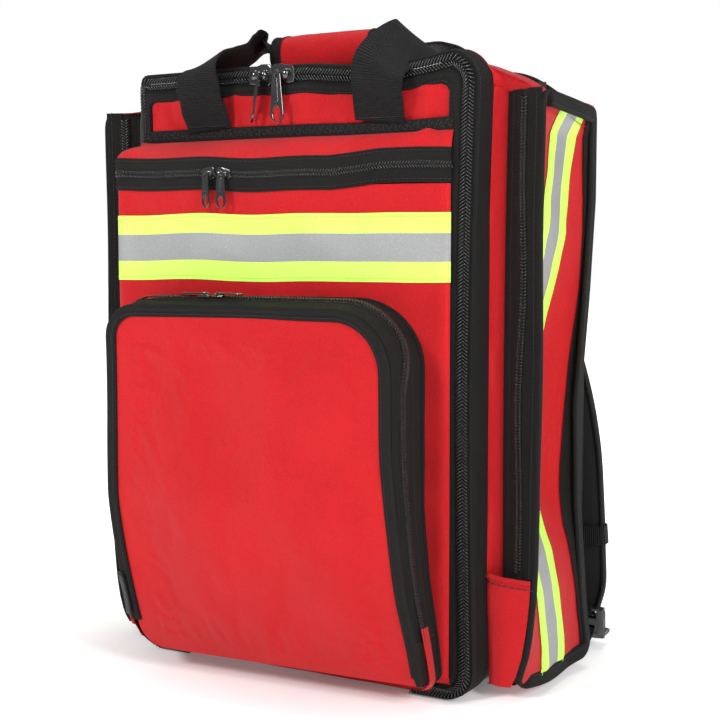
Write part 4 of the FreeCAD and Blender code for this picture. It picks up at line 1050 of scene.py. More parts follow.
    # binding all round the side panel
    zc0, zc1 = 13.0, 438.0
    zf = np.linspace(zc0 + 12, zc1 - 12, 80)
    F_ = fin_front(zf)
    B_ = fin_rear(zf)[::-1]
    def corner(p, c, q, m=8):
        t_ = np.linspace(0, 1, m + 2)[1:-1, None]
        return (1 - t_) ** 2 * p + 2 * (1 - t_) * t_ * c + t_ ** 2 * q
    ft_, rt_ = fin_front(A([zc1]))[0], fin_rear(A([zc1 - 4.0]))[0]
    fb_, rb_ = fin_front(A([zc0 - 2.0]))[0], fin_rear(A([zc0]))[0]
    sq_ = np.linspace(0.09, 0.89, 24)
    top_run = panel_pt(sq_, zc1 + 1.0 - 5.0 * sq_) + A([0.8, 0, 0])
    bot_run = panel_pt(sq_[::-1], 11.5 - 4.5 * np.sin(math.pi * sq_[::-1])) + A([0.8, 0, 0])
    loop = np.vstack([F_, corner(F_[-1], ft_ + A([0, 0, 2.0]), top_run[0]), top_run, corner(top_run[-1], rt_ + A([0, 0, 1.0]), B_[0]), B_, corner(B_[-1], rb_, bot_run[0]), bot_run, corner(bot_run[-1], fb_, F_[0])])
    loop = resample(np.vstack([loop, loop[:1]]), 420)[:-1]
    tt_ = unit(np.roll(loop, -1, 0) - np.roll(loop, 1, 0))
    inward = unit(np.cross(tt_, A([-1.0, 0, 0])))
    mid_ = A([loop[:, 0].mean(), 2.0, 226.0])
    if (inward * (mid_ - loop)).sum() < 0:
        inward = -inward
    frontness = sstep(-42, -53, loop[:, 1])[:, None] * sstep(6, 15, loop[:, 2])[:, None]
    across = unit(mix(inward, unit(A([-0.85, 0.35, 0]) + 0 * inward), frontness))
    nrm2 = unit(np.cross(tt_, across))
    if nrm2[:, 0].mean() < 0:
        nrm2 = -nrm2
    path = loop + across * 5.0 + nrm2 * 0.8
    on(sweep(f"side_binding_{tag}", ssign(path, sd), ssign(across, sd), flat_profile(12.4, 3.4), BIND, nrm=ssign(nrm2, sd), closed=True), "pack_body", "black_tape", *(["side_bindings"] if fl else []))
    vv, zz_ = np.meshgrid(np.linspace(0, 1, 6), np.linspace(16, 431, 90), indexing="ij")
    vv = mix(np.interp(zz_, [16, 60, 114, 219, 300, 431], [0.87, 0.866, 0.83, 0.90, 0.915, 0.84]), 0.985, vv)
    T_ = panel_pt(vv, zz_); T_[..., 0] += 1.6
    on(sheet(f"side_rear_tape_{tag}", ssign(T_, sd), BIND, not fl), "pack_body", "black_tape")
    on(stitches(f"side_binding_seam_{tag}", ssign(loop + across * 8.6 + nrm2 * 2.6, sd), ssign(nrm2, sd), THREAD_K, pitch=3.3, length=2.3), "pack_body", "black_tape")
    # rear strip between the rear fin and the back panel
    zz_ = np.linspace(11, 437, 80)
    r0 = fin_rear(zz_)
    cols = [mix(r0 - A([1.0, 0, 0]), np.stack([np.full_like(zz_, 176.0), np.full_like(zz_, 66.0), zz_], 1), k) for k in (0, 0.5, 1)]
    on(sheet(f"rear_strip_{tag}", ssign(np.stack(cols, 1), sd), RED, not fl), "pack_body", "red_fabric")
    # bottom of the side pocket and the wall under it
    cols = []
    for k in np.linspace(0, 1, 8):
        a0 = np.stack([mix(153.0, fin_front(A([12.0]))[0, 0] - 2, k) + 0 * np.linspace(0, 1, 20), np.linspace(-50, 58, 20), 10 + 2.0 * k + 0 * np.linspace(0, 1, 20)], 1)
        cols.append(a0)
    # darker red under the side pocket: painted shade
    on(sheet(f"side_bottom_{tag}", ssign(np.stack(cols, 1), sd), RED_UNDERSIDE_SHADE, fl), "pack_body", "red_fabric")

# ------------------------------------------------------------------ top skin, shoulders and bottom skin
xs = np.linspace(-191, 191, 150)
ys = np.linspace(-50, 62, 44)
def top_z(x_):
    a = np.abs(x_)
    right = 464.5 - 23.5 * np.clip((a - 128) / 64.0, 0, 1) ** 1.05
    left = 464.5 - 22.5 * sstep(116, 152, a) - 1.5 * sstep(150, 192, a)
    return np.where(np.asarray(x_) > 0, right, left)
X_, Y_ = np.meshgrid(xs, ys, indexing="ij")
edge_r = np.clip((np.abs(X_) - 186) / 7.0, 0, 1)
Z_ = top_z(X_) + droop(X_, 460.0 + 0 * X_) * sstep(30, -50, Y_) - 3.0 * edge_r ** 2
Z_ += 1.6 * np.sin(math.pi * np.clip((Y_ + 50) / 112, 0, 1)) + 1.6 * nz(np.stack([X_, Y_, 0 * X_], -1), 45, 41)
Z_ = np.maximum(Z_, np.where(np.abs(X_) < 118, 458.5, 0))
Z_ -= sstep(160, 191, np.abs(X_)) * 1.5 + sstep(180, 191, np.abs(X_)) * 4.5 + sstep(128, 191, np.abs(X_)) * 15.0 * sstep(-46, 40, Y_)
top = sheet("top_cloth", np.stack([X_, Y_, Z_], -1), RED)
ed = np.zeros(X_.shape); ed[0] = ed[-1] = 1; ed[:, 0] = ed[:, -1] = 1
on(top, "pack_body", "red_fabric", "top_shoulders")
# the rear wall above the back padding, its bound edge, the wall under it and the lining inside
xr, zr = X_[:, -1], Z_[:, -1]
wall = [np.stack([xr * (0.985 + 0.015 * (1 - k)), 62.0 - 1.2 * math.sin(math.pi * k) + 0 * xr, mix(zr, np.full_like(zr, 424.0), k)], 1) for k in np.linspace(0, 1, 8)]
on(sheet("top_rear_cloth", np.stack(wall, 1), RED), "pack_body", "red_fabric")
edge_ = np.stack([xr, 62.4 + 0 * xr, np.convolve(np.pad(zr, 6, mode="edge"), np.ones(13) / 13, "valid") - 0.6], 1)[np.abs(xr) < 181]
et = unit(np.gradient(edge_, axis=0))
on(sweep("top_rear_binding", edge_, np.stack([-et[:, 2], 0 * et[:, 0], et[:, 0]], 1), flat_profile(8.0, 2.8), BIND), "pack_body", "black_tape")
xb = np.linspace(-176, 176, 60)
wall = [np.stack([xb, 61.0 + 0 * xb, np.full_like(xb, z__)], 1) for z__ in (34.0, 20.0, 8.0, 2.5)]
# darker red on the wall at the foot: painted shade
on(sheet("foot_rear_cloth", np.stack(wall, 1), RED_UNDERSIDE_SHADE), "pack_body", "red_fabric")
xl, zl = np.meshgrid(np.linspace(-151.5, 151.5, 40), np.linspace(3.0, 458.0, 60), indexing="ij")
on(sheet("rear_lining", np.stack([xl, 58.2 + 0.5 * nz(np.stack([xl, 0 * xl, zl], -1), 40, 71), zl], -1), LINING), "pack_body", "red_fabric")
# the front of the shoulders: from the zipper's tape and the side zippers up to the top skin
Pz, Oz = loop3(9.6, -50.0, False)
Pz = Pz[Pz[:, 2] > 441.0]
xq = np.linspace(155.5, 191, 16)
def side_zip_y(a_):
    return np.interp(a_, [153, 161, 193], [-49.0, -39.6, -54.0])
tail = np.stack([xq, side_zip_y(xq), np.full(16, 440.2)], 1)
a0 = np.vstack([(tail * A([-1, 1, 1]))[::-1], Pz, tail])
b0 = a0.copy()
b0[:, 0] = np.clip(a0[:, 0], -191, 191)
b0[:, 1] = -50.0 + 3.0 * sstep(153, 160, np.abs(a0[:, 0])) * sstep(192, 175, np.abs(a0[:, 0]))
b0[:, 2] = np.maximum(top_z(b0[:, 0]) + droop(b0[:, 0], 460 + 0 * b0[:, 0]) - 1.5 * sstep(168, 191, np.abs(b0[:, 0])), a0[:, 2] + 0.4)
cols = []
for k in np.linspace(0, 1, 8):
    r_ = mix(a0, b0, k)
    r_[:, 1] -= 1.6 * math.sin(math.pi * k) * (1 + 0.5 * nz(r_, 25, 44))
    cols.append(r_)
on(sheet("top_front_lip", np.stack(cols, 1), RED), "pack_body", "red_fabric")
# lower rear skin: sides and bottom of the main shell
prof = [(-153.2, 70)] + [(-153.2 + 30 - 30 * math.cos(a), 30.4 - 30 * math.sin(a)) for a in np.linspace(0, math.pi / 2, 10)] + [(x_, 0.3) for x_ in (-90, -40, 0, 40, 90)] + [(153.2 - 30 + 30 * math.sin(a), 30.4 - 30 * math.cos(a)) for a in np.linspace(0, math.pi / 2, 10)] + [(153.2, 70)]
pp = resample(A(prof), 120)
cols = [np.stack([pp[:, 0], np.full(120, y_), pp[:, 1]], 1) for y_ in np.linspace(-51, 66, 20)]
# darker red on the bottom of the shell: painted shade
on(sheet("base_skin", np.stack(cols, 1), RED_UNDERSIDE_SHADE, True), "pack_body", "red_fabric")
# cloth hinge under the lid
hy = spline([(0, -72.6, 17), (0, -73.4, 9), (0, -71.0, 3.2), (0, -63, 0.7), (0, -51, 0.4)], 16)
cols = [np.stack([np.full(16, x_), hy[:, 1] + 0.4 * math.sin(x_ / 9.0), hy[:, 2]], 1) for x_ in np.linspace(-118, 118, 60)]
# darker red on the hinge under the lid: painted shade
hinge = sheet("lid_hinge_cloth", np.stack(cols, 0), RED_UNDERSIDE_SHADE, True)
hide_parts("lid_hinge_strip")
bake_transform(hinge)

# ------------------------------------------------------------------ back panel, pads
def pad(name, outline_pts, y0, thick, mat, body, slot, nodes, tilt=0.0, root=(0, 0), press=3.0, cap=4.0, ring=4.0, bind=True):
    """A quilted pad from a closed outline in (x, z): crowned on both faces, with a bound edge."""
    o = A(outline_pts, float)
    o = resample(np.vstack([o, o[:1]]), 140)[:-1]
    c = o.mean(0)
    # medial rows: shrink the outline towards its own centre line
    levels = [1.0, 0.97, 0.9, 0.8, 0.66, 0.5, 0.33, 0.16, 0.03]
    zmid = lambda z_: c[0]
    V, Fc = [], []
    zs_ = np.linspace(o[:, 1].min(), o[:, 1].max(), 60)
    left = np.array([o[np.abs(o[:, 1] - q) < 9][:, 0].min() for q in zs_])
    right_ = np.array([o[np.abs(o[:, 1] - q) < 9][:, 0].max() for q in zs_])
    mid = (left + right_) / 2
    zlo, zhi = o[:, 1].min(), o[:, 1].max()
    half = (zhi - zlo) / 2
    for front in (0, 1):
        for lv in levels:
            m = np.interp(np.clip(o[:, 1], zlo + 18, zhi - 18), zs_, mid)
            zc = np.clip(o[:, 1], zlo + 18, zhi - 18)
            x_ = m + (o[:, 0] - m) * lv
            z_ = zc + (o[:, 1] - zc) * lv
            h = thick * (1 - lv ** 3.2) ** 0.6 * 0.5 + (thick * 0.12 if lv == 1.0 else thick * 0.18)
            y_ = (h if front else -h) + thick / 2 + y0
            V.append(np.stack([x_, np.full(len(x_), y_), z_], 1))
    n = len(o)
    rows = levels
    V = np.vstack(V)
    L = len(levels)
    for front in (0, 1):
        base = front * L * n
        for i in range(L - 1):
            for k in range(n):
                q = [base + i * n + k, base + i * n + (k + 1) % n, base + (i + 1) * n + (k + 1) % n, base + (i + 1) * n + k]
                Fc.append(q[::-1] if front else q)
    for k in range(n):
        Fc.append([k, L * n + k, L * n + (k + 1) % n, (k + 1) % n])
    for front in (0, 1):
        last = front * L * n + (L - 1) * n
        # close the middle by bridging across
        for k in range(n // 2 - 1):
            q = [last + k, last + k + 1, last + n - 2 - k, last + n - 1 - k]
            Fc.append(q if not front else q[::-1])
    ca, sa = math.cos(tilt), math.sin(tilt)
    ry, rz = root
    W = V.copy()
    W[:, 1] = ry + (V[:, 1]) * ca - (V[:, 2]) * sa
    W[:, 2] = rz + (V[:, 1]) * sa + (V[:, 2]) * ca
    ob = make(name, W, Fc, mat)
    on(ob, body, slot, *nodes)
    if bind:
        P_ = np.stack([o[:, 0], np.full(n, y0 + thick / 2), o[:, 1]], 1)
        Q = P_.copy(); Q[:, 1] = ry + P_[:, 1] * ca - P_[:, 2] * sa; Q[:, 2] = rz + P_[:, 1] * sa + P_[:, 2] * ca
        tg_ = unit(np.roll(Q, -1, 0) - np.roll(Q, 1, 0))
        yax = A([0, ca, sa])
        outd = unit(np.cross(tg_, yax))
        cc_ = Q.mean(0)
        if (outd * (Q - cc_)).sum() < 0:
            outd = -outd
        on(sweep(name + "_binding", Q - outd * 0.6, yax, flat_profile(max(ring, thick * 0.55), 2.6), BIND, nrm=outd, closed=True), body, slot)
    return ob


def rrect(x0, x1, z0, z1, r, m=8):
    pts = []
    for cx, cz, a0 in ((x1 - r, z1 - r, 0), (x0 + r, z1 - r, 90), (x0 + r, z0 + r, 180), (x1 - r, z0 + r, 270)):
        for a in np.radians(np.linspace(a0, a0 + 90, m)):
            pts.append((cx + r * math.cos(a), cz + r * math.sin(a)))
    return pts


back_out = [(a, min(b, 447 - max(0.0, abs(a) - 120) ** 1.5 / 18.0)) for a, b in rrect(-182, 182, 12, 447, 34, 14)]
# the outline follows the pack's narrower waist
bo = A(back_out)
bo[:, 0] = np.sign(bo[:, 0]) * (np.abs(bo[:, 0]) - 7.0 * np.exp(-((bo[:, 1] - 215) / 110.0) ** 2) * (np.abs(bo[:, 0]) > 120))
pad("back_padding", bo, 58.5, 11.5, MESH, "pack_body", "spacer_mesh", ["back_panel"], ring=9)
pad("spine_padding", rrect(-34, 34, 76, 393, 16), 69.0, 10.0, MESH, "pack_body", "spacer_mesh", ["spine_pad"])
pad("lumbar_padding", rrect(-110, 110, 26, 64, 15), 69.0, 11.0, MESH, "pack_body", "spacer_mesh", ["lumbar_pad"])
for k, xx in enumerate((-96, 96)):
    pad(f"shoulder_blade_padding_{k}", rrect(xx - 44, xx + 44, 190, 392, 18), 68.0, 5.0, MESH, "pack_body", "spacer_mesh", [], bind=False)
yk = np.stack([np.linspace(-120, 120, 60), np.full(60, 71.9), np.full(60, 437.0)], 1)
on(sweep("yoke_webbing", yk, (0, 0, 1), flat_profile(24, 2.4), WEB), "pack_body", "black_webbing", "harness_yoke")
for q, dz in enumerate((-9, 9)):
    on(stitches(f"yoke_seam_{q}", yk + A([0, 1.3, dz]), A([0, 1.0, 0]), THREAD_K, pitch=3.4, length=2.5), "pack_body", "black_webbing")
for sd, tag in ((1, "right"), (-1, "left")):
    tri = [(146, 36), (152, 22), (176, 15), (184, 15), (184, 53), (152, 52)]
    o = A(tri, float) * A([sd, 1.0])
    v = [(a, 72.7, b) for a, b in o] + [(a, 75.2, b) for a, b in o]
    n = len(o)
    f = [list(range(n)), [n + k for k in range(n)][::-1]] + [[k, n + k, n + (k + 1) % n, (k + 1) % n] for k in range(n)]
    ob = make(f"anchor_tab_{tag}", v, f, BLACK_CLOTH, None, False)
    on(ob, "pack_body", "black_webbing", *(["strap_anchors"] if sd > 0 else []))
    path = resample(A([(a, 75.6, b) for a, b in o] + [(o[0][0], 75.6, o[0][1])]), 60)
    mid_ = path.mean(0)
    on(stitches(f"anchor_tab_seam_{tag}", mid_ + (path - mid_) * 0.86, A([0, 1.0, 0]), THREAD_K, pitch=3.4, length=2.5), "pack_body", "black_webbing")

# ------------------------------------------------------------------ shoulder straps
INNER = A([(44, 0), (48, -50), (68, -100), (92, -150), (108, -200), (117, -250), (122, -300), (126, -340), (134, -368), (144, -386)], float)
OUTER = A([(104, 0), (112, -50), (134, -100), (160, -150), (176, -200), (185, -250), (188, -300), (189, -340), (189, -368), (184, -388)], float)
TILT = math.radians(3.4)
ROOT = (76.8, 421.0)


def lean(P_):
    P_ = np.array(P_, float)
    y_, z_ = P_[..., 1].copy(), P_[..., 2].copy()
    P_[..., 1] = ROOT[0] + y_ * math.cos(TILT) - z_ * math.sin(TILT)
    P_[..., 2] = ROOT[1] + y_ * math.sin(TILT) + z_ * math.cos(TILT)
    return P_


inn = spline([(a, 0, b) for a, b in INNER], 90)
outr = spline([(a, 0, b) for a, b in OUTER], 90)
midl = (inn + outr) / 2
YAX = A([0, math.cos(TILT), math.sin(TILT)])
for sd, tag in ((1, "right"), (-1, "left")):
    fl = sd > 0
    body = f"shoulder_strap_{tag}"
    # crowned pad: a closed section across the strap
    m = 22
    ang = np.linspace(0, 2 * math.pi, m, endpoint=False)
    rows = []
    for i in range(90):
        wv = outr[i] - inn[i]
        hw_ = np.linalg.norm(wv) / 2
        dv = wv / (2 * hw_)
        endf = min(1.0, 0.45 + i / 10.0, 0.35 + (89 - i) / 14.0)
        cx = np.sign(np.cos(ang)) * np.abs(np.cos(ang)) ** 0.75 * hw_
        cy = np.sign(np.sin(ang)) * np.abs(np.sin(ang)) ** 0.8 * 5.2 * endf
        rr = midl[i] + cx[:, None] * dv + cy[:, None] * A([0, 1.0, 0]) + A([0, 5.5, 0])
        rows.append(rr)
    P_ = np.stack(rows, 0)
    P_[..., 1] += 0.5 * nz(P_, 20, 51)
    P_ = ssign(lean(P_), sd)
    f = quads(90, m, wrap=True, flip=fl) + [list(range(m)), [89 * m + k for k in range(m)][::-1]]
    uvp = np.stack(np.broadcast_arrays(np.linspace(0, 390, 90)[:, None], np.linspace(0, 130, m)[None, :]), -1)
    padm = make(f"shoulder_padding_{tag}", P_.reshape(-1, 3), f, MESH, uvp.reshape(-1, 2))
    padm.data.materials.append(BLACK_CLOTH)
    # the outer face is plain cloth, the inner face air mesh
    idx = np.zeros(len(padm.data.polygons), np.int32)
    for k, pl in enumerate(padm.data.polygons):
        idx[k] = 1 if pl.center.y > 0 and (pl.normal.y > 0.15) else 0
    padm.data.polygons.foreach_set("material_index", idx)
    on(padm, body, "spacer_mesh", f"shoulder_pad_{tag}")
    ring = np.vstack([inn, outr[::-1]])
    ring = resample(np.vstack([ring, ring[:1]]), 320)[:-1] + A([0, 5.5, 0])
    R_ = lean(ring)
    tg_ = unit(np.roll(R_, -1, 0) - np.roll(R_, 1, 0))
    od = unit(np.cross(tg_, YAX))
    if (od * (R_ - R_.mean(0))).sum() < 0:
        od = -od
    on(sweep(f"shoulder_binding_{tag}", ssign(R_ - od * 0.8, sd), ssign(YAX[None] + 0 * R_, sd), flat_profile(8.4, 2.6), BIND, nrm=ssign(od, sd), closed=True), body, "black_webbing")
    # webbing down the pad, with a seam along each edge and keeper loops
    wv = lean(midl[12:] + A([0, 12.0, 0]))
    dv = unit(outr - inn)[12:]
    web = sweep(f"pad_strap_{tag}", ssign(wv, sd), ssign(dv, sd), flat_profile(25, 1.6), WEB)
    on(web, body, "black_webbing", f"pad_webbing_{tag}")
    for q, off in enumerate((-10.5, 10.5)):
        on(stitches(f"pad_strap_seam_{tag}_{q}", ssign(wv + dv * off + YAX * 0.9, sd), YAX, THREAD_K, pitch=3.6, length=2.6), body, "black_webbing")
    for q, i in enumerate((38, 75)):
        c_, w_ = midl[i], outr[i] - inn[i]
        hw_ = np.linalg.norm(w_) / 2 + 1.8
        d_ = unit(w_)
        a = np.linspace(0, 2 * math.pi, 40, endpoint=False)
        rr = c_ + (np.sign(np.cos(a)) * np.abs(np.cos(a)) ** 0.4 * hw_)[:, None] * d_ + (np.sign(np.sin(a)) * np.abs(np.sin(a)) ** 0.5 * 7.6)[:, None] * A([0, 1.0, 0]) + A([0, 6.2, 0])
        rr = lean(rr)
        along = unit(lean(midl[i + 1][None])[0] - lean(midl[i - 1][None])[0])
        tg_ = unit(np.roll(rr, -1, 0) - np.roll(rr, 1, 0))
        on(sweep(f"keeper_{tag}_{q}", ssign(rr, sd), ssign(along, sd), flat_profile(16, 1.4), WEB, nrm=ssign(unit(np.cross(tg_, along)), sd), closed=True), body, "black_webbing")
    # ladder buckle
    def bar(x0, x1, y0, y1, z0, z1, nm):
        nseg = 16
        a = np.linspace(0, 2 * math.pi, nseg, endpoint=False)
        pr = np.stack([(y0 + y1) / 2 + np.sign(np.cos(a)) * np.abs(np.cos(a)) ** 0.6 * (y1 - y0) / 2, (z0 + z1) / 2 + np.sign(np.sin(a)) * np.abs(np.sin(a)) ** 0.6 * (z1 - z0) / 2], 1)
        xs_ = np.linspace(x0, x1, 9)
        sc = 1 - 0.18 * np.abs(np.linspace(-1, 1, 9)) ** 6
        V = np.stack([np.stack([np.full(nseg, q), (y0 + y1) / 2 + (pr[:, 0] - (y0 + y1) / 2) * s_, (z0 + z1) / 2 + (pr[:, 1] - (z0 + z1) / 2) * s_], 1) for q, s_ in zip(xs_, sc)], 0)
        V[..., 0] = 160 + (V[..., 0] - 160) * 1.12 + 8.0
        V = ssign(lean(V), sd)
        return make(nm, V.reshape(-1, 3), quads(9, nseg, wrap=True, flip=fl) + [list(range(nseg)), [8 * nseg + k for k in range(nseg)][::-1]], GREY)
    pieces_ = [bar(142, 178, 3.2, 8.8, -391.2, -387, f"b1{tag}"), bar(142, 178, 3.6, 8.6, -403.2, -397.8, f"b2{tag}"), bar(142, 178, 3.2, 9.6, -414, -408.8, f"b3{tag}"),
               bar(141.6, 147.2, 3.0, 9.2, -413.4, -387.2, f"b4{tag}"), bar(172.8, 178.4, 3.0, 9.2, -413.4, -387.2, f"b5{tag}"), bar(143, 177, 8.6, 25.5, -413.9, -409.6, f"b6{tag}")]
    on(joined(f"ladder_lock_{tag}", pieces_), body, "buckle_plastic", f"ladder_buckle_{tag}")
    # webbing from the pad's end through the buckle, and the adjuster from the pack
    th = lean(spline([(166, 12.2, -376), (167, 11.8, -384), (168, 9.8, -390), (168, 5.8, -394.4), (168, 1.4, -393.4), (167, 0.6, -386)], 24))
    on(sweep(f"buckle_loop_{tag}", ssign(th, sd), (1, 0, 0), flat_profile(24, 1.5), WEB), body, "black_webbing")
    ad = [(76.4, 42), (78.4, 34), (84.5, 22), (92.5, 12.5), (98.5, 8.6)]
    y1, z1 = lean(A([[160, 4.5, -406]]))[0, 1:]
    ad += [(y1 + 1.0, z1 - 1.2), (y1 + 5.5, z1 + 3.5), (y1 + 6.4, z1 + 12.0)]
    adp = spline([(168 * sd, a, b) for a, b in ad], 60)
    ao = sweep(f"adjuster_strap_{tag}", adp, (1, 0, 0), flat_profile(24, 1.5), WEB)
    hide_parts(f"adjuster_webbing_{tag}")
    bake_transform(ao)

# ------------------------------------------------------------------ carry handles
def strap(name, pts, dirs, w=40.0, th=2.0, n=90, mat=WEB):
    path = spline(pts, n)
    D = spline(dirs, n)
    return sweep(name, path, unit(D), flat_profile(w, th, 5), mat)


hl = strap("front_strap_left", [(-72.5, -75.4, 420), (-74.2, -81.5, 434), (-75.4, -87.5, 450), (-74.6, -87, 463), (-72.0, -79, 471.5), (-69.5, -64, 475), (-67.5, -47, 478.5), (-67.5, -32, 484), (-66.5, -20, 489), (-62, -12.5, 492), (-55.5, -10.5, 490), (-49, -10, 484)],
           [(1, 0, 0), (1, 0, 0.1), (1, 0, 0.22), (1, 0, 0.2), (1, -0.08, 0.14), (1, 0.0, 0.08), (0.98, -0.02, 0.16), (0.92, -0.22, 0.28), (0.72, -0.6, 0.34), (0.34, -0.88, 0.2), (0.1, -1, 0.08), (0, -1, 0)])
hr = strap("front_strap_right", [(77, -75.4, 420), (79.1, -83, 434), (81.0, -88.5, 449), (83.0, -85.5, 461), (86.5, -73, 471), (90, -55, 479), (87, -38, 483.5), (77, -24, 485), (64, -14, 484.5), (50, -10, 483)],
           [(1, 0, 0), (1, 0, 0), (1, 0, 0.03), (1, 0.05, -0.08), (0.93, 0.15, -0.33), (0.7, 0.45, -0.55), (0.45, 0.75, -0.5), (0.2, 0.93, -0.35), (0, 1, -0.2), (0, 1, -0.1)])
for o in (hl, hr):
    on(o, "front_handle", "black_webbing", *(["front_handle_strap"] if o is hl else []))
rl = strap("rear_strap_left", [(-75.5, 75.4, 443), (-76, 77, 456), (-75, 74.5, 468), (-73, 67, 479), (-69, 54, 487), (-62, 38, 489), (-56, 22, 486), (-50, 9.5, 482)],
           [(1, 0, 0), (1, 0, 0), (1, 0.02, 0), (1, 0.05, 0), (0.95, 0.25, 0), (0.85, 0.45, 0), (0.75, 0.65, 0), (0.6, 0.8, 0)], w=36)
rr_ = strap("rear_strap_right", [(75.5, 75.4, 443), (76, 77, 456), (75, 74.5, 468), (73, 67, 479), (69, 54, 487), (62, 38, 489), (56, 22, 486), (50, 9.5, 482)],
            [(1, 0, 0), (1, 0, 0), (1, -0.02, 0), (1, -0.05, 0), (0.95, -0.25, 0), (0.85, -0.45, 0), (0.75, -0.65, 0), (0.6, -0.8, 0)], w=36)
bp2 = sweep("rear_strap_bar", np.stack([np.linspace(-56, 56, 40), np.full(40, 17.5), 482.5 - 2.0 * np.cos(np.linspace(-1.5, 1.5, 40))], 1), (0, 1, 0), flat_profile(20, 2.0), WEB)
for o in (rl, rr_, bp2):
    on(o, "rear_handle", "black_webbing", *(["rear_handle_strap"] if o is rl else []))
# a row of stitches across each leg where the handle webbing meets the lid
for k, x0 in enumerate((-75.5, 75.5)):
    bx = resample(A([(x0 - 15, -78.0, 422.6), (x0 + 16, -78.0, 422.6)], float), 40)
    on(stitches(f"handle_bar_tack_{k}", bx, FRONT, THREAD_K, pitch=2.2, length=2.0), "front_handle", "black_webbing")

# grip: a padded wrap with bound ends and a lapped seam underneath
gx = np.linspace(-49, 49, 70)
m = 56
a = np.linspace(0, 2 * math.pi, m, endpoint=False)
rows = []
for i, xx in enumerate(gx):
    e = abs(xx) / 49.0
    r_ = 15.6 + 0.9 * (1 - e ** 4) - 0.8 * math.exp(-((e - 0.9) / 0.06) ** 2)
    sq = (np.abs(np.cos(a)) ** 2.5 + np.abs(np.sin(a)) ** 2.5) ** (-1 / 2.5)
    yy = -10 + r_ * 0.98 * np.cos(a) * sq * 0.96
    zz_ = 482.5 + r_ * np.sin(a) * sq * 0.92 - 1.0 * (e ** 2) * 0
    rows.append(np.stack([np.full(m, xx), yy, zz_], 1))
P = np.stack(rows, 0)
w = 0.9 * nz(P * A([0.7, 1, 1]), 16, 61) + 0.5 * nz(P, 8, 62)
P += unit(P - A([0, -10, 482.5])) * A([0, 1, 1]) * w[..., None]
grip = make("grip_wrap", P.reshape(-1, 3), quads(70, m, wrap=True, flip=True) + [list(range(m))[::-1], [69 * m + k for k in range(m)]], RED)
on(grip, "front_handle", "red_fabric", "handle_grip")
for k, (i0, i1) in enumerate(((0, 7), (62, 69))):
    cols = []
    for i in np.linspace(i0, i1, 8):
        r0 = P[int(round(i))]
        c_ = A([0, -10, 482.5]) + A([r0[0, 0], 0, 0])
        cols.append(c_ + (r0 - c_) * 1.05)
    Q = np.stack(cols, 0)
    Q[:, :, 0] += (np.cos(a) * 1.2)[None, :] * (1 if k else 1)
    end = Q[0 if k == 0 else -1]
    c_ = A([end[:, 0].mean(), -10, 482.5])
    inner = c_ + (end - c_) * 0.78
    Q2 = np.concatenate([inner[None], Q], 0) if k == 0 else np.concatenate([Q, inner[None]], 0)
    ob = make(f"grip_end_binding_{k}", Q2.reshape(-1, 3), quads(len(Q2), m, wrap=True, flip=True), BIND, np.stack(np.broadcast_arrays(np.linspace(0, 11, len(Q2))[:, None], np.linspace(0, 100, m)[None]), -1)[..., ::-1].reshape(-1, 2))
    on(ob, "front_handle", "red_fabric")
seam = np.stack([np.linspace(-40, 40, 50), np.full(50, -10 - 15.2 * 0.5), np.full(50, 482.5 - 15.0)], 1)
on(sweep("grip_lap", seam, (0, 0.8, -0.45), flat_profile(6, 2.2), BIND), "front_handle", "red_fabric")

# ------------------------------------------------------------------ sliders and pulls
def plate_curve(name, outline_, holes, th, bevel, mat):
    """A flat enamelled plate in the x-z plane, centred on y = 0, from an outline with holes."""
    cu = bpy.data.curves.new(name, "CURVE")
    cu.dimensions = "2D"
    cu.fill_mode = "BOTH"
    cu.extrude = max(th / 2 - bevel, 0.05) * MM
    cu.bevel_depth = bevel * MM
    cu.bevel_resolution = 2
    for pts in [outline_] + holes:
        s_ = cu.splines.new("POLY")
        s_.points.add(len(pts) - 1)
        for p_, (a_, b_) in zip(s_.points, pts):
            p_.co = (a_ * MM, b_ * MM, 0, 1)
        s_.use_cyclic_u = True
    tmp = bpy.data.objects.new(name + "_c", cu)
    scene.collection.objects.link(tmp)
    bpy.context.view_layer.update()
    me = bpy.data.meshes.new_from_object(tmp.evaluated_get(bpy.context.evaluated_depsgraph_get()))
    bpy.data.objects.remove(tmp)
    me.name = name
    co = np.empty(len(me.vertices) * 3, np.float32)
    me.vertices.foreach_get("co", co)
    co = co.reshape(-1, 3) / MM
    V = np.stack([co[:, 0], -co[:, 2], co[:, 1]], 1)
    faces = [list(p_.vertices) for p_ in me.polygons]
    bpy.data.meshes.remove(me)
    return V, faces


def racetrack(half_top, half_low, length, m=14):
    pts = []
    for a_ in np.linspace(0, math.pi, m):
        pts.append((half_top * math.cos(a_), -half_top + half_top * math.sin(a_) + 1.6))
    for a_ in np.linspace(math.pi, 2 * math.pi, m):
        pts.append((half_low * math.cos(a_), -length + half_low + half_low * math.sin(a_)))
    return pts


def ellipse(cx, cz, rx_, rz_, m=22):
    return [(cx + rx_ * math.cos(a_), cz + rz_ * math.sin(a_)) for a_ in np.linspace(0, 2 * math.pi, m, endpoint=False)][::-1]


def solid_of(name, V, faces, mat, X, Y, Z, at):
    V = A(V)
    W = A(at) + V[:, 0:1] * A(X) + V[:, 1:2] * A(Y) + V[:, 2:3] * A(Z)
    return make(name, W, faces, mat, None, False)


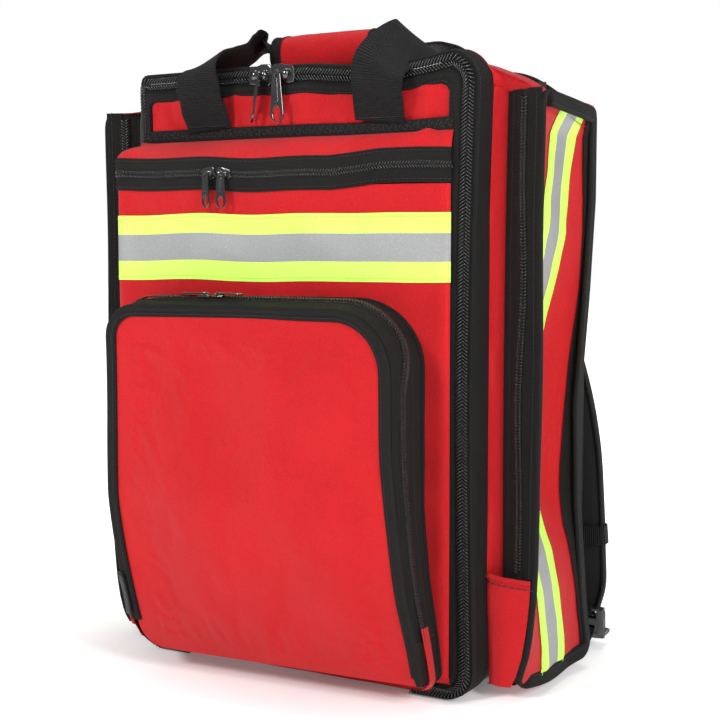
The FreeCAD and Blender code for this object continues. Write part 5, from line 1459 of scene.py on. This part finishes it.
def dome(name, cx, cy, cz, rx_, ry_, rz_, X, Y, Z, at, mat, p=2.6, nu_=18, nv_=12):
    V, Fc = [], []
    for i in range(nv_ + 1):
        ph = -math.pi / 2 + math.pi * i / nv_
        for k in range(nu_):
            th_ = 2 * math.pi * k / nu_
            f_ = lambda q: math.copysign(abs(q) ** (2 / p), q)
            V.append((cx + rx_ * f_(math.cos(ph)) * f_(math.cos(th_)), cy + ry_ * f_(math.sin(ph)), cz + rz_ * f_(math.cos(ph)) * f_(math.sin(th_))))
    Fc = quads(nv_ + 1, nu_, wrap=True)
    o = solid_of(name, V, Fc, mat, X, Y, Z, at)
    o.data.polygons.foreach_set("use_smooth", np.full(len(o.data.polygons), True))
    return o


XA, YA, ZA = A([1.0, 0, 0]), A([0, 1.0, 0]), A([0, 0, 1.0])


def make_slider(nm, at, X, Y, Z, sc, body, node):
    """Slider seen from the front: X along the chain, Y away from the viewer, Z across the chain; sc scales it."""
    X, Y, Z = A(X) * sc, A(Y) * sc, A(Z) * sc
    out = [(-7.4, -4.6), (-6.0, -6.0), (-1.0, -6.2), (2.0, -5.2), (7.2, -4.4), (7.8, -2.6), (7.8, 2.6), (7.2, 4.4), (2.0, 5.2), (-1.0, 6.2), (-6.0, 6.0), (-7.4, 4.6)]
    V, Fc = plate_curve(nm + "p", out, [], 1.9, 0.6, METAL)
    a_ = solid_of(nm + "_p", V, Fc, METAL, X, Y, Z, A(at) - Y * 1.6)
    b_ = dome(nm + "_b", 0, -3.0, 0, 5.6, 2.3, 3.0, X, Y, Z, at, METAL)
    c_ = dome(nm + "_c", 3.0, -3.2, 0, 2.6, 2.6, 3.6, X, Y, Z, at, METAL, p=2.2)
    d_ = dome(nm + "_d", -3.2, -3.0, 0, 2.2, 2.2, 3.4, X, Y, Z, at, METAL, p=2.2)
    o = joined(nm, [a_, b_, c_, d_])
    return on(o, body, "black_metal", node)


def make_pull(nm, at, X, Y, Z, length, half_low, body, node, th=1.7):
    V, Fc = plate_curve(nm + "p", racetrack(2.6 * half_low / 4.6 + 0.2, half_low, length), [ellipse(0, -length + half_low + 0.4, half_low - 1.5, half_low + 1.2), ellipse(0, -1.6, 1.15, 1.6)], th, 0.45, METAL)
    a_ = solid_of(nm + "_p", V, Fc, METAL, X, Y, Z, at)
    V, Fc = plate_curve(nm + "q", [(-0.9, -4.0), (0.9, -4.0), (1.5, -length + half_low * 2 + 4.4), (-1.5, -length + half_low * 2 + 4.4)], [], 0.7, 0.2, METAL)
    b_ = solid_of(nm + "_q", V, Fc, METAL, X, Y, Z, A(at) - A(Y) * (th / 2 + 0.1))
    o = joined(nm, [a_, b_])
    return on(o, body, "black_metal", node)


def box_mid(node):
    lo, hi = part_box(node)
    return (A(lo) + A(hi)) / 2 / MM


for tag, x0, ang, lean_ in (("left", -25.0, -0.92, -0.17), ("right", -9.0, 0.08, 0.02)):
    zc = 460.0 + float(droop(x0, 460.0))
    sgn = -1 if tag == "left" else 1
    make_slider(f"main_slide_{tag}", (x0 + 2.0 * sgn, -71.6, zc), XA * sgn, YA, ZA, 1.25, f"main_zip_slider_{tag}", f"main_slider_{tag}")
    c_, s_ = math.cos(ang), math.sin(ang)
    cl_, sl_ = math.cos(lean_), math.sin(lean_)
    make_pull(f"main_tab_{tag}", (x0, -80.0, zc + 0.5), A([c_, s_, 0]) * cl_ + ZA * sl_ * 0.0, A([-s_, c_, 0]), unit(A([-sl_, 0, cl_])), 36.0, 5.2, f"main_zip_pull_{tag}", f"main_pull_{tag}")
for tag, x0 in (("left", -54.0), ("right", -42.0)):
    row = skin([386.4], lift=0.9)[:, 0]
    i = int(np.argmin(np.abs(row[:, 0] - x0)))
    at = row[i].copy(); at[2] += float(band_wave(at[0]))
    tx = unit(row[i + 1] - row[i - 1]); ty = unit(np.cross(ZA, tx))
    sgn = -1 if tag == "left" else 1
    make_slider(f"upper_slide_{tag}", at - ty * 0.2, tx * sgn, ty, ZA, 0.68, f"upper_zip_slider_{tag}", f"upper_slider_{tag}")
    ang = 0.25 * sgn
    X1 = unit(tx * math.cos(ang) + ty * math.sin(ang)); Y1 = unit(np.cross(ZA, X1))
    make_pull(f"upper_tab_{tag}", at - ty * 5.6 + ZA * -0.6, X1, Y1, ZA, 25.0, 3.7, f"upper_zip_pull_{tag}", f"upper_pull_{tag}", th=1.3)
ctop = gus(SPL)
for tag, x0, sgn in (("left", -44.0, -1), ("right", -31.0, 1)):
    top_i = np.nonzero(fz > 270)[0]
    i = top_i[int(np.argmin(np.abs(ctop[top_i, 0] - x0)))]
    at = ctop[i] + ZA * 1.2
    make_slider(f"lower_slide_{tag}", at, XA * sgn, -ZA, YA, 0.68, f"lower_zip_slider_{tag}", f"lower_slider_{tag}")
    V, Fc = plate_curve("lt" + tag, racetrack(1.7, 3.0, 23.0), [ellipse(0, -23 + 3.4, 1.7, 3.2), ellipse(0, -1.4, 0.8, 1.2)], 1.3, 0.4, METAL)
    # lies outward along the chain, a little raised at its far end
    Zd = unit(A([-sgn * 0.985, 0.12 * sgn, 0.02]))
    Yd = unit(A([0, 0.0, -1.0]) - Zd * np.dot(A([0, 0, -1.0]), Zd))
    Xd = unit(np.cross(Yd, Zd))
    o = solid_of(f"lower_tab_{tag}", V, Fc, METAL, Xd, Yd, Zd, at + ZA * 3.4 - YA * 0.5)
    on(o, f"lower_zip_pull_{tag}", "black_metal", f"lower_pull_{tag}")
for sd, tag in ((1, "right"), (-1, "left")):
    a_ = A([160.0 + 2.5 * (abs(74 - 230) / 230) ** 2, -39.4, 74.0]); b_ = fin_front(A([74.0]))[0]
    ax_ = unit((b_ - a_) * A([1, 1, 0])); nn = unit(np.cross(ax_, ZA))
    if nn[1] > 0:
        nn = -nn
    at = mix(a_, b_, 0.53) + nn * 0.8
    make_slider(f"side_slide_{tag}", ssign(at, sd), ZA, ssign(-nn, sd), ssign(ax_, sd), 0.62, f"side_zip_slider_{tag}", f"side_slider_{tag}")
    V, Fc = plate_curve("st" + tag, racetrack(1.8, 2.6, 17.0), [ellipse(0, -17 + 2.8, 1.4, 2.0)], 1.2, 0.35, METAL)
    o = solid_of(f"side_tab_pull_{tag}", V, Fc, METAL, ssign(ax_, sd), ssign(-nn, sd), ZA, ssign(at + nn * 2.6, sd))
    on(o, f"side_zip_slider_{tag}", "black_metal")

# ------------------------------------------------------------------ CAD nodes that stay, with their own finish
KEEP = {"main_shell": LINING, "base_board": LINING, "frame_sheet": BOARD, "inner_dividers": LINING, "inner_mesh_pocket": NET, "lid_mesh_pocket": NET, "lid_stiffener": LINING}
for nm, mt in KEEP.items():
    ob = NODES[nm]
    ob.data.materials.clear()
    ob.data.materials.append(mt)

# ------------------------------------------------------------------ stage, lights, camera
bpy.ops.mesh.primitive_plane_add(size=14, location=(0, 2.0, -0.0005))
floor = bpy.context.active_object
floor.name = "floor"
fm = bpy.data.materials.new("floor_white")
t, b = nt(fm)
b.inputs["Base Color"].default_value = (0.97, 0.97, 0.97, 1)
b.inputs["Roughness"].default_value = 0.9
b.inputs["Specular IOR Level"].default_value = 0.0
b.inputs["Emission Color"].default_value = (1, 1, 1, 1)
tcf = N(t, "ShaderNodeTexCoord")
dist = N(t, "ShaderNodeVectorMath", operation="LENGTH")
off_ = N(t, "ShaderNodeVectorMath", operation="ADD")
off_.inputs[1].default_value = (0.0, 2.0, 0.0)
t.links.new(tcf.outputs["Object"], off_.inputs[0])
t.links.new(off_.outputs[0], dist.inputs[0])
fnoise = N(t, "ShaderNodeTexNoise", in_Scale=3.0)
t.links.new(tcf.outputs["Object"], fnoise.inputs["Vector"])
ramp = mth(t, "MULTIPLY", mth(t, "MAXIMUM", mth(t, "SUBTRACT", dist.outputs["Value"], 0.12), 0.0), 2.2)
t.links.new(mth(t, "ADD", mth(t, "MINIMUM", ramp, 0.85), mth(t, "MULTIPLY", fnoise.outputs[0], 0.25)), b.inputs["Emission Strength"])
floor.data.materials.append(fm)
# the floor drops out of the way when the lid or the lower pocket's face swings below it
fc = floor.driver_add("location", 2)
drv = fc.driver
drv.type = "SCRIPTED"
for v_, nm in (("a", "lid_front_cloth"), ("b", "lower_pocket_cloth")):
    var = drv.variables.new()
    var.name = v_
    var.type = "TRANSFORMS"
    var.targets[0].id = bpy.data.objects[nm]
    var.targets[0].transform_type = "ROT_W"
    var.targets[0].rotation_mode = "QUATERNION"
    var.targets[0].transform_space = "WORLD_SPACE"
drv.expression = "-0.0005 + min(0, 0.53*(2*a*a-1) - 0.3*abs(a)*sqrt(max(0, 1-a*a)), 0.3*(2*b*b-1) - 0.1*abs(b)*sqrt(max(0, 1-b*b)))"

world = bpy.data.worlds.new("studio")
scene.world = world
world.use_nodes = True
wt_ = world.node_tree
wt_.nodes.clear()
wo = wt_.nodes.new("ShaderNodeOutputWorld")
bg1 = wt_.nodes.new("ShaderNodeBackground"); bg1.inputs[0].default_value = (1, 1, 1, 1); bg1.inputs[1].default_value = 0.34
bg2 = wt_.nodes.new("ShaderNodeBackground"); bg2.inputs[0].default_value = (1, 1, 1, 1); bg2.inputs[1].default_value = 1.0
lp = wt_.nodes.new("ShaderNodeLightPath"); mx = wt_.nodes.new("ShaderNodeMixShader")
wt_.links.new(lp.outputs["Is Camera Ray"], mx.inputs[0]); wt_.links.new(bg1.outputs[0], mx.inputs[1]); wt_.links.new(bg2.outputs[0], mx.inputs[2]); wt_.links.new(mx.outputs[0], wo.inputs[0])


def area(name, loc, target, size, power, col=(1, 1, 1)):
    l = bpy.data.lights.new(name, "AREA")
    l.shape = "DISK"; l.size = size; l.energy = power; l.color = col
    o = bpy.data.objects.new(name, l)
    scene.collection.objects.link(o)
    o.location = loc
    o.rotation_euler = (Vector(target) - Vector(loc)).to_track_quat("-Z", "Y").to_euler()
    return o


area("key", (-0.5, -2.0, 1.3), (0, 0, 0.25), 0.45, 30)
area("fill", (1.8, -0.9, 1.1), (0, 0, 0.25), 0.7, 26)
area("top", (0.2, 0.3, 2.4), (0, 0, 0.3), 1.2, 16)

cam = bpy.data.cameras.new("camera")
cam.sensor_width = 36.0
cam.lens = 36.0 * 1349.67 / 720.0
co = bpy.data.objects.new("camera", cam)
scene.collection.objects.link(co)
co.location = (0.5461, -0.9407, 0.3288)
co.rotation_euler = (math.radians(90 - 4.73), 0, math.radians(29.31))
cam.clip_start = 0.01
scene.camera = co
scene.view_settings.view_transform = "Standard"
scene.view_settings.look = "None"

for ob in bpy.data.objects:
    if ob.type == "MESH" and ob.name != "floor":
        zm = min((ob.matrix_world @ Vector(c)).z for c in ob.bound_box)
        if zm < -0.0002:
            print("LOW", ob.name, round(zm * 1000, 2))
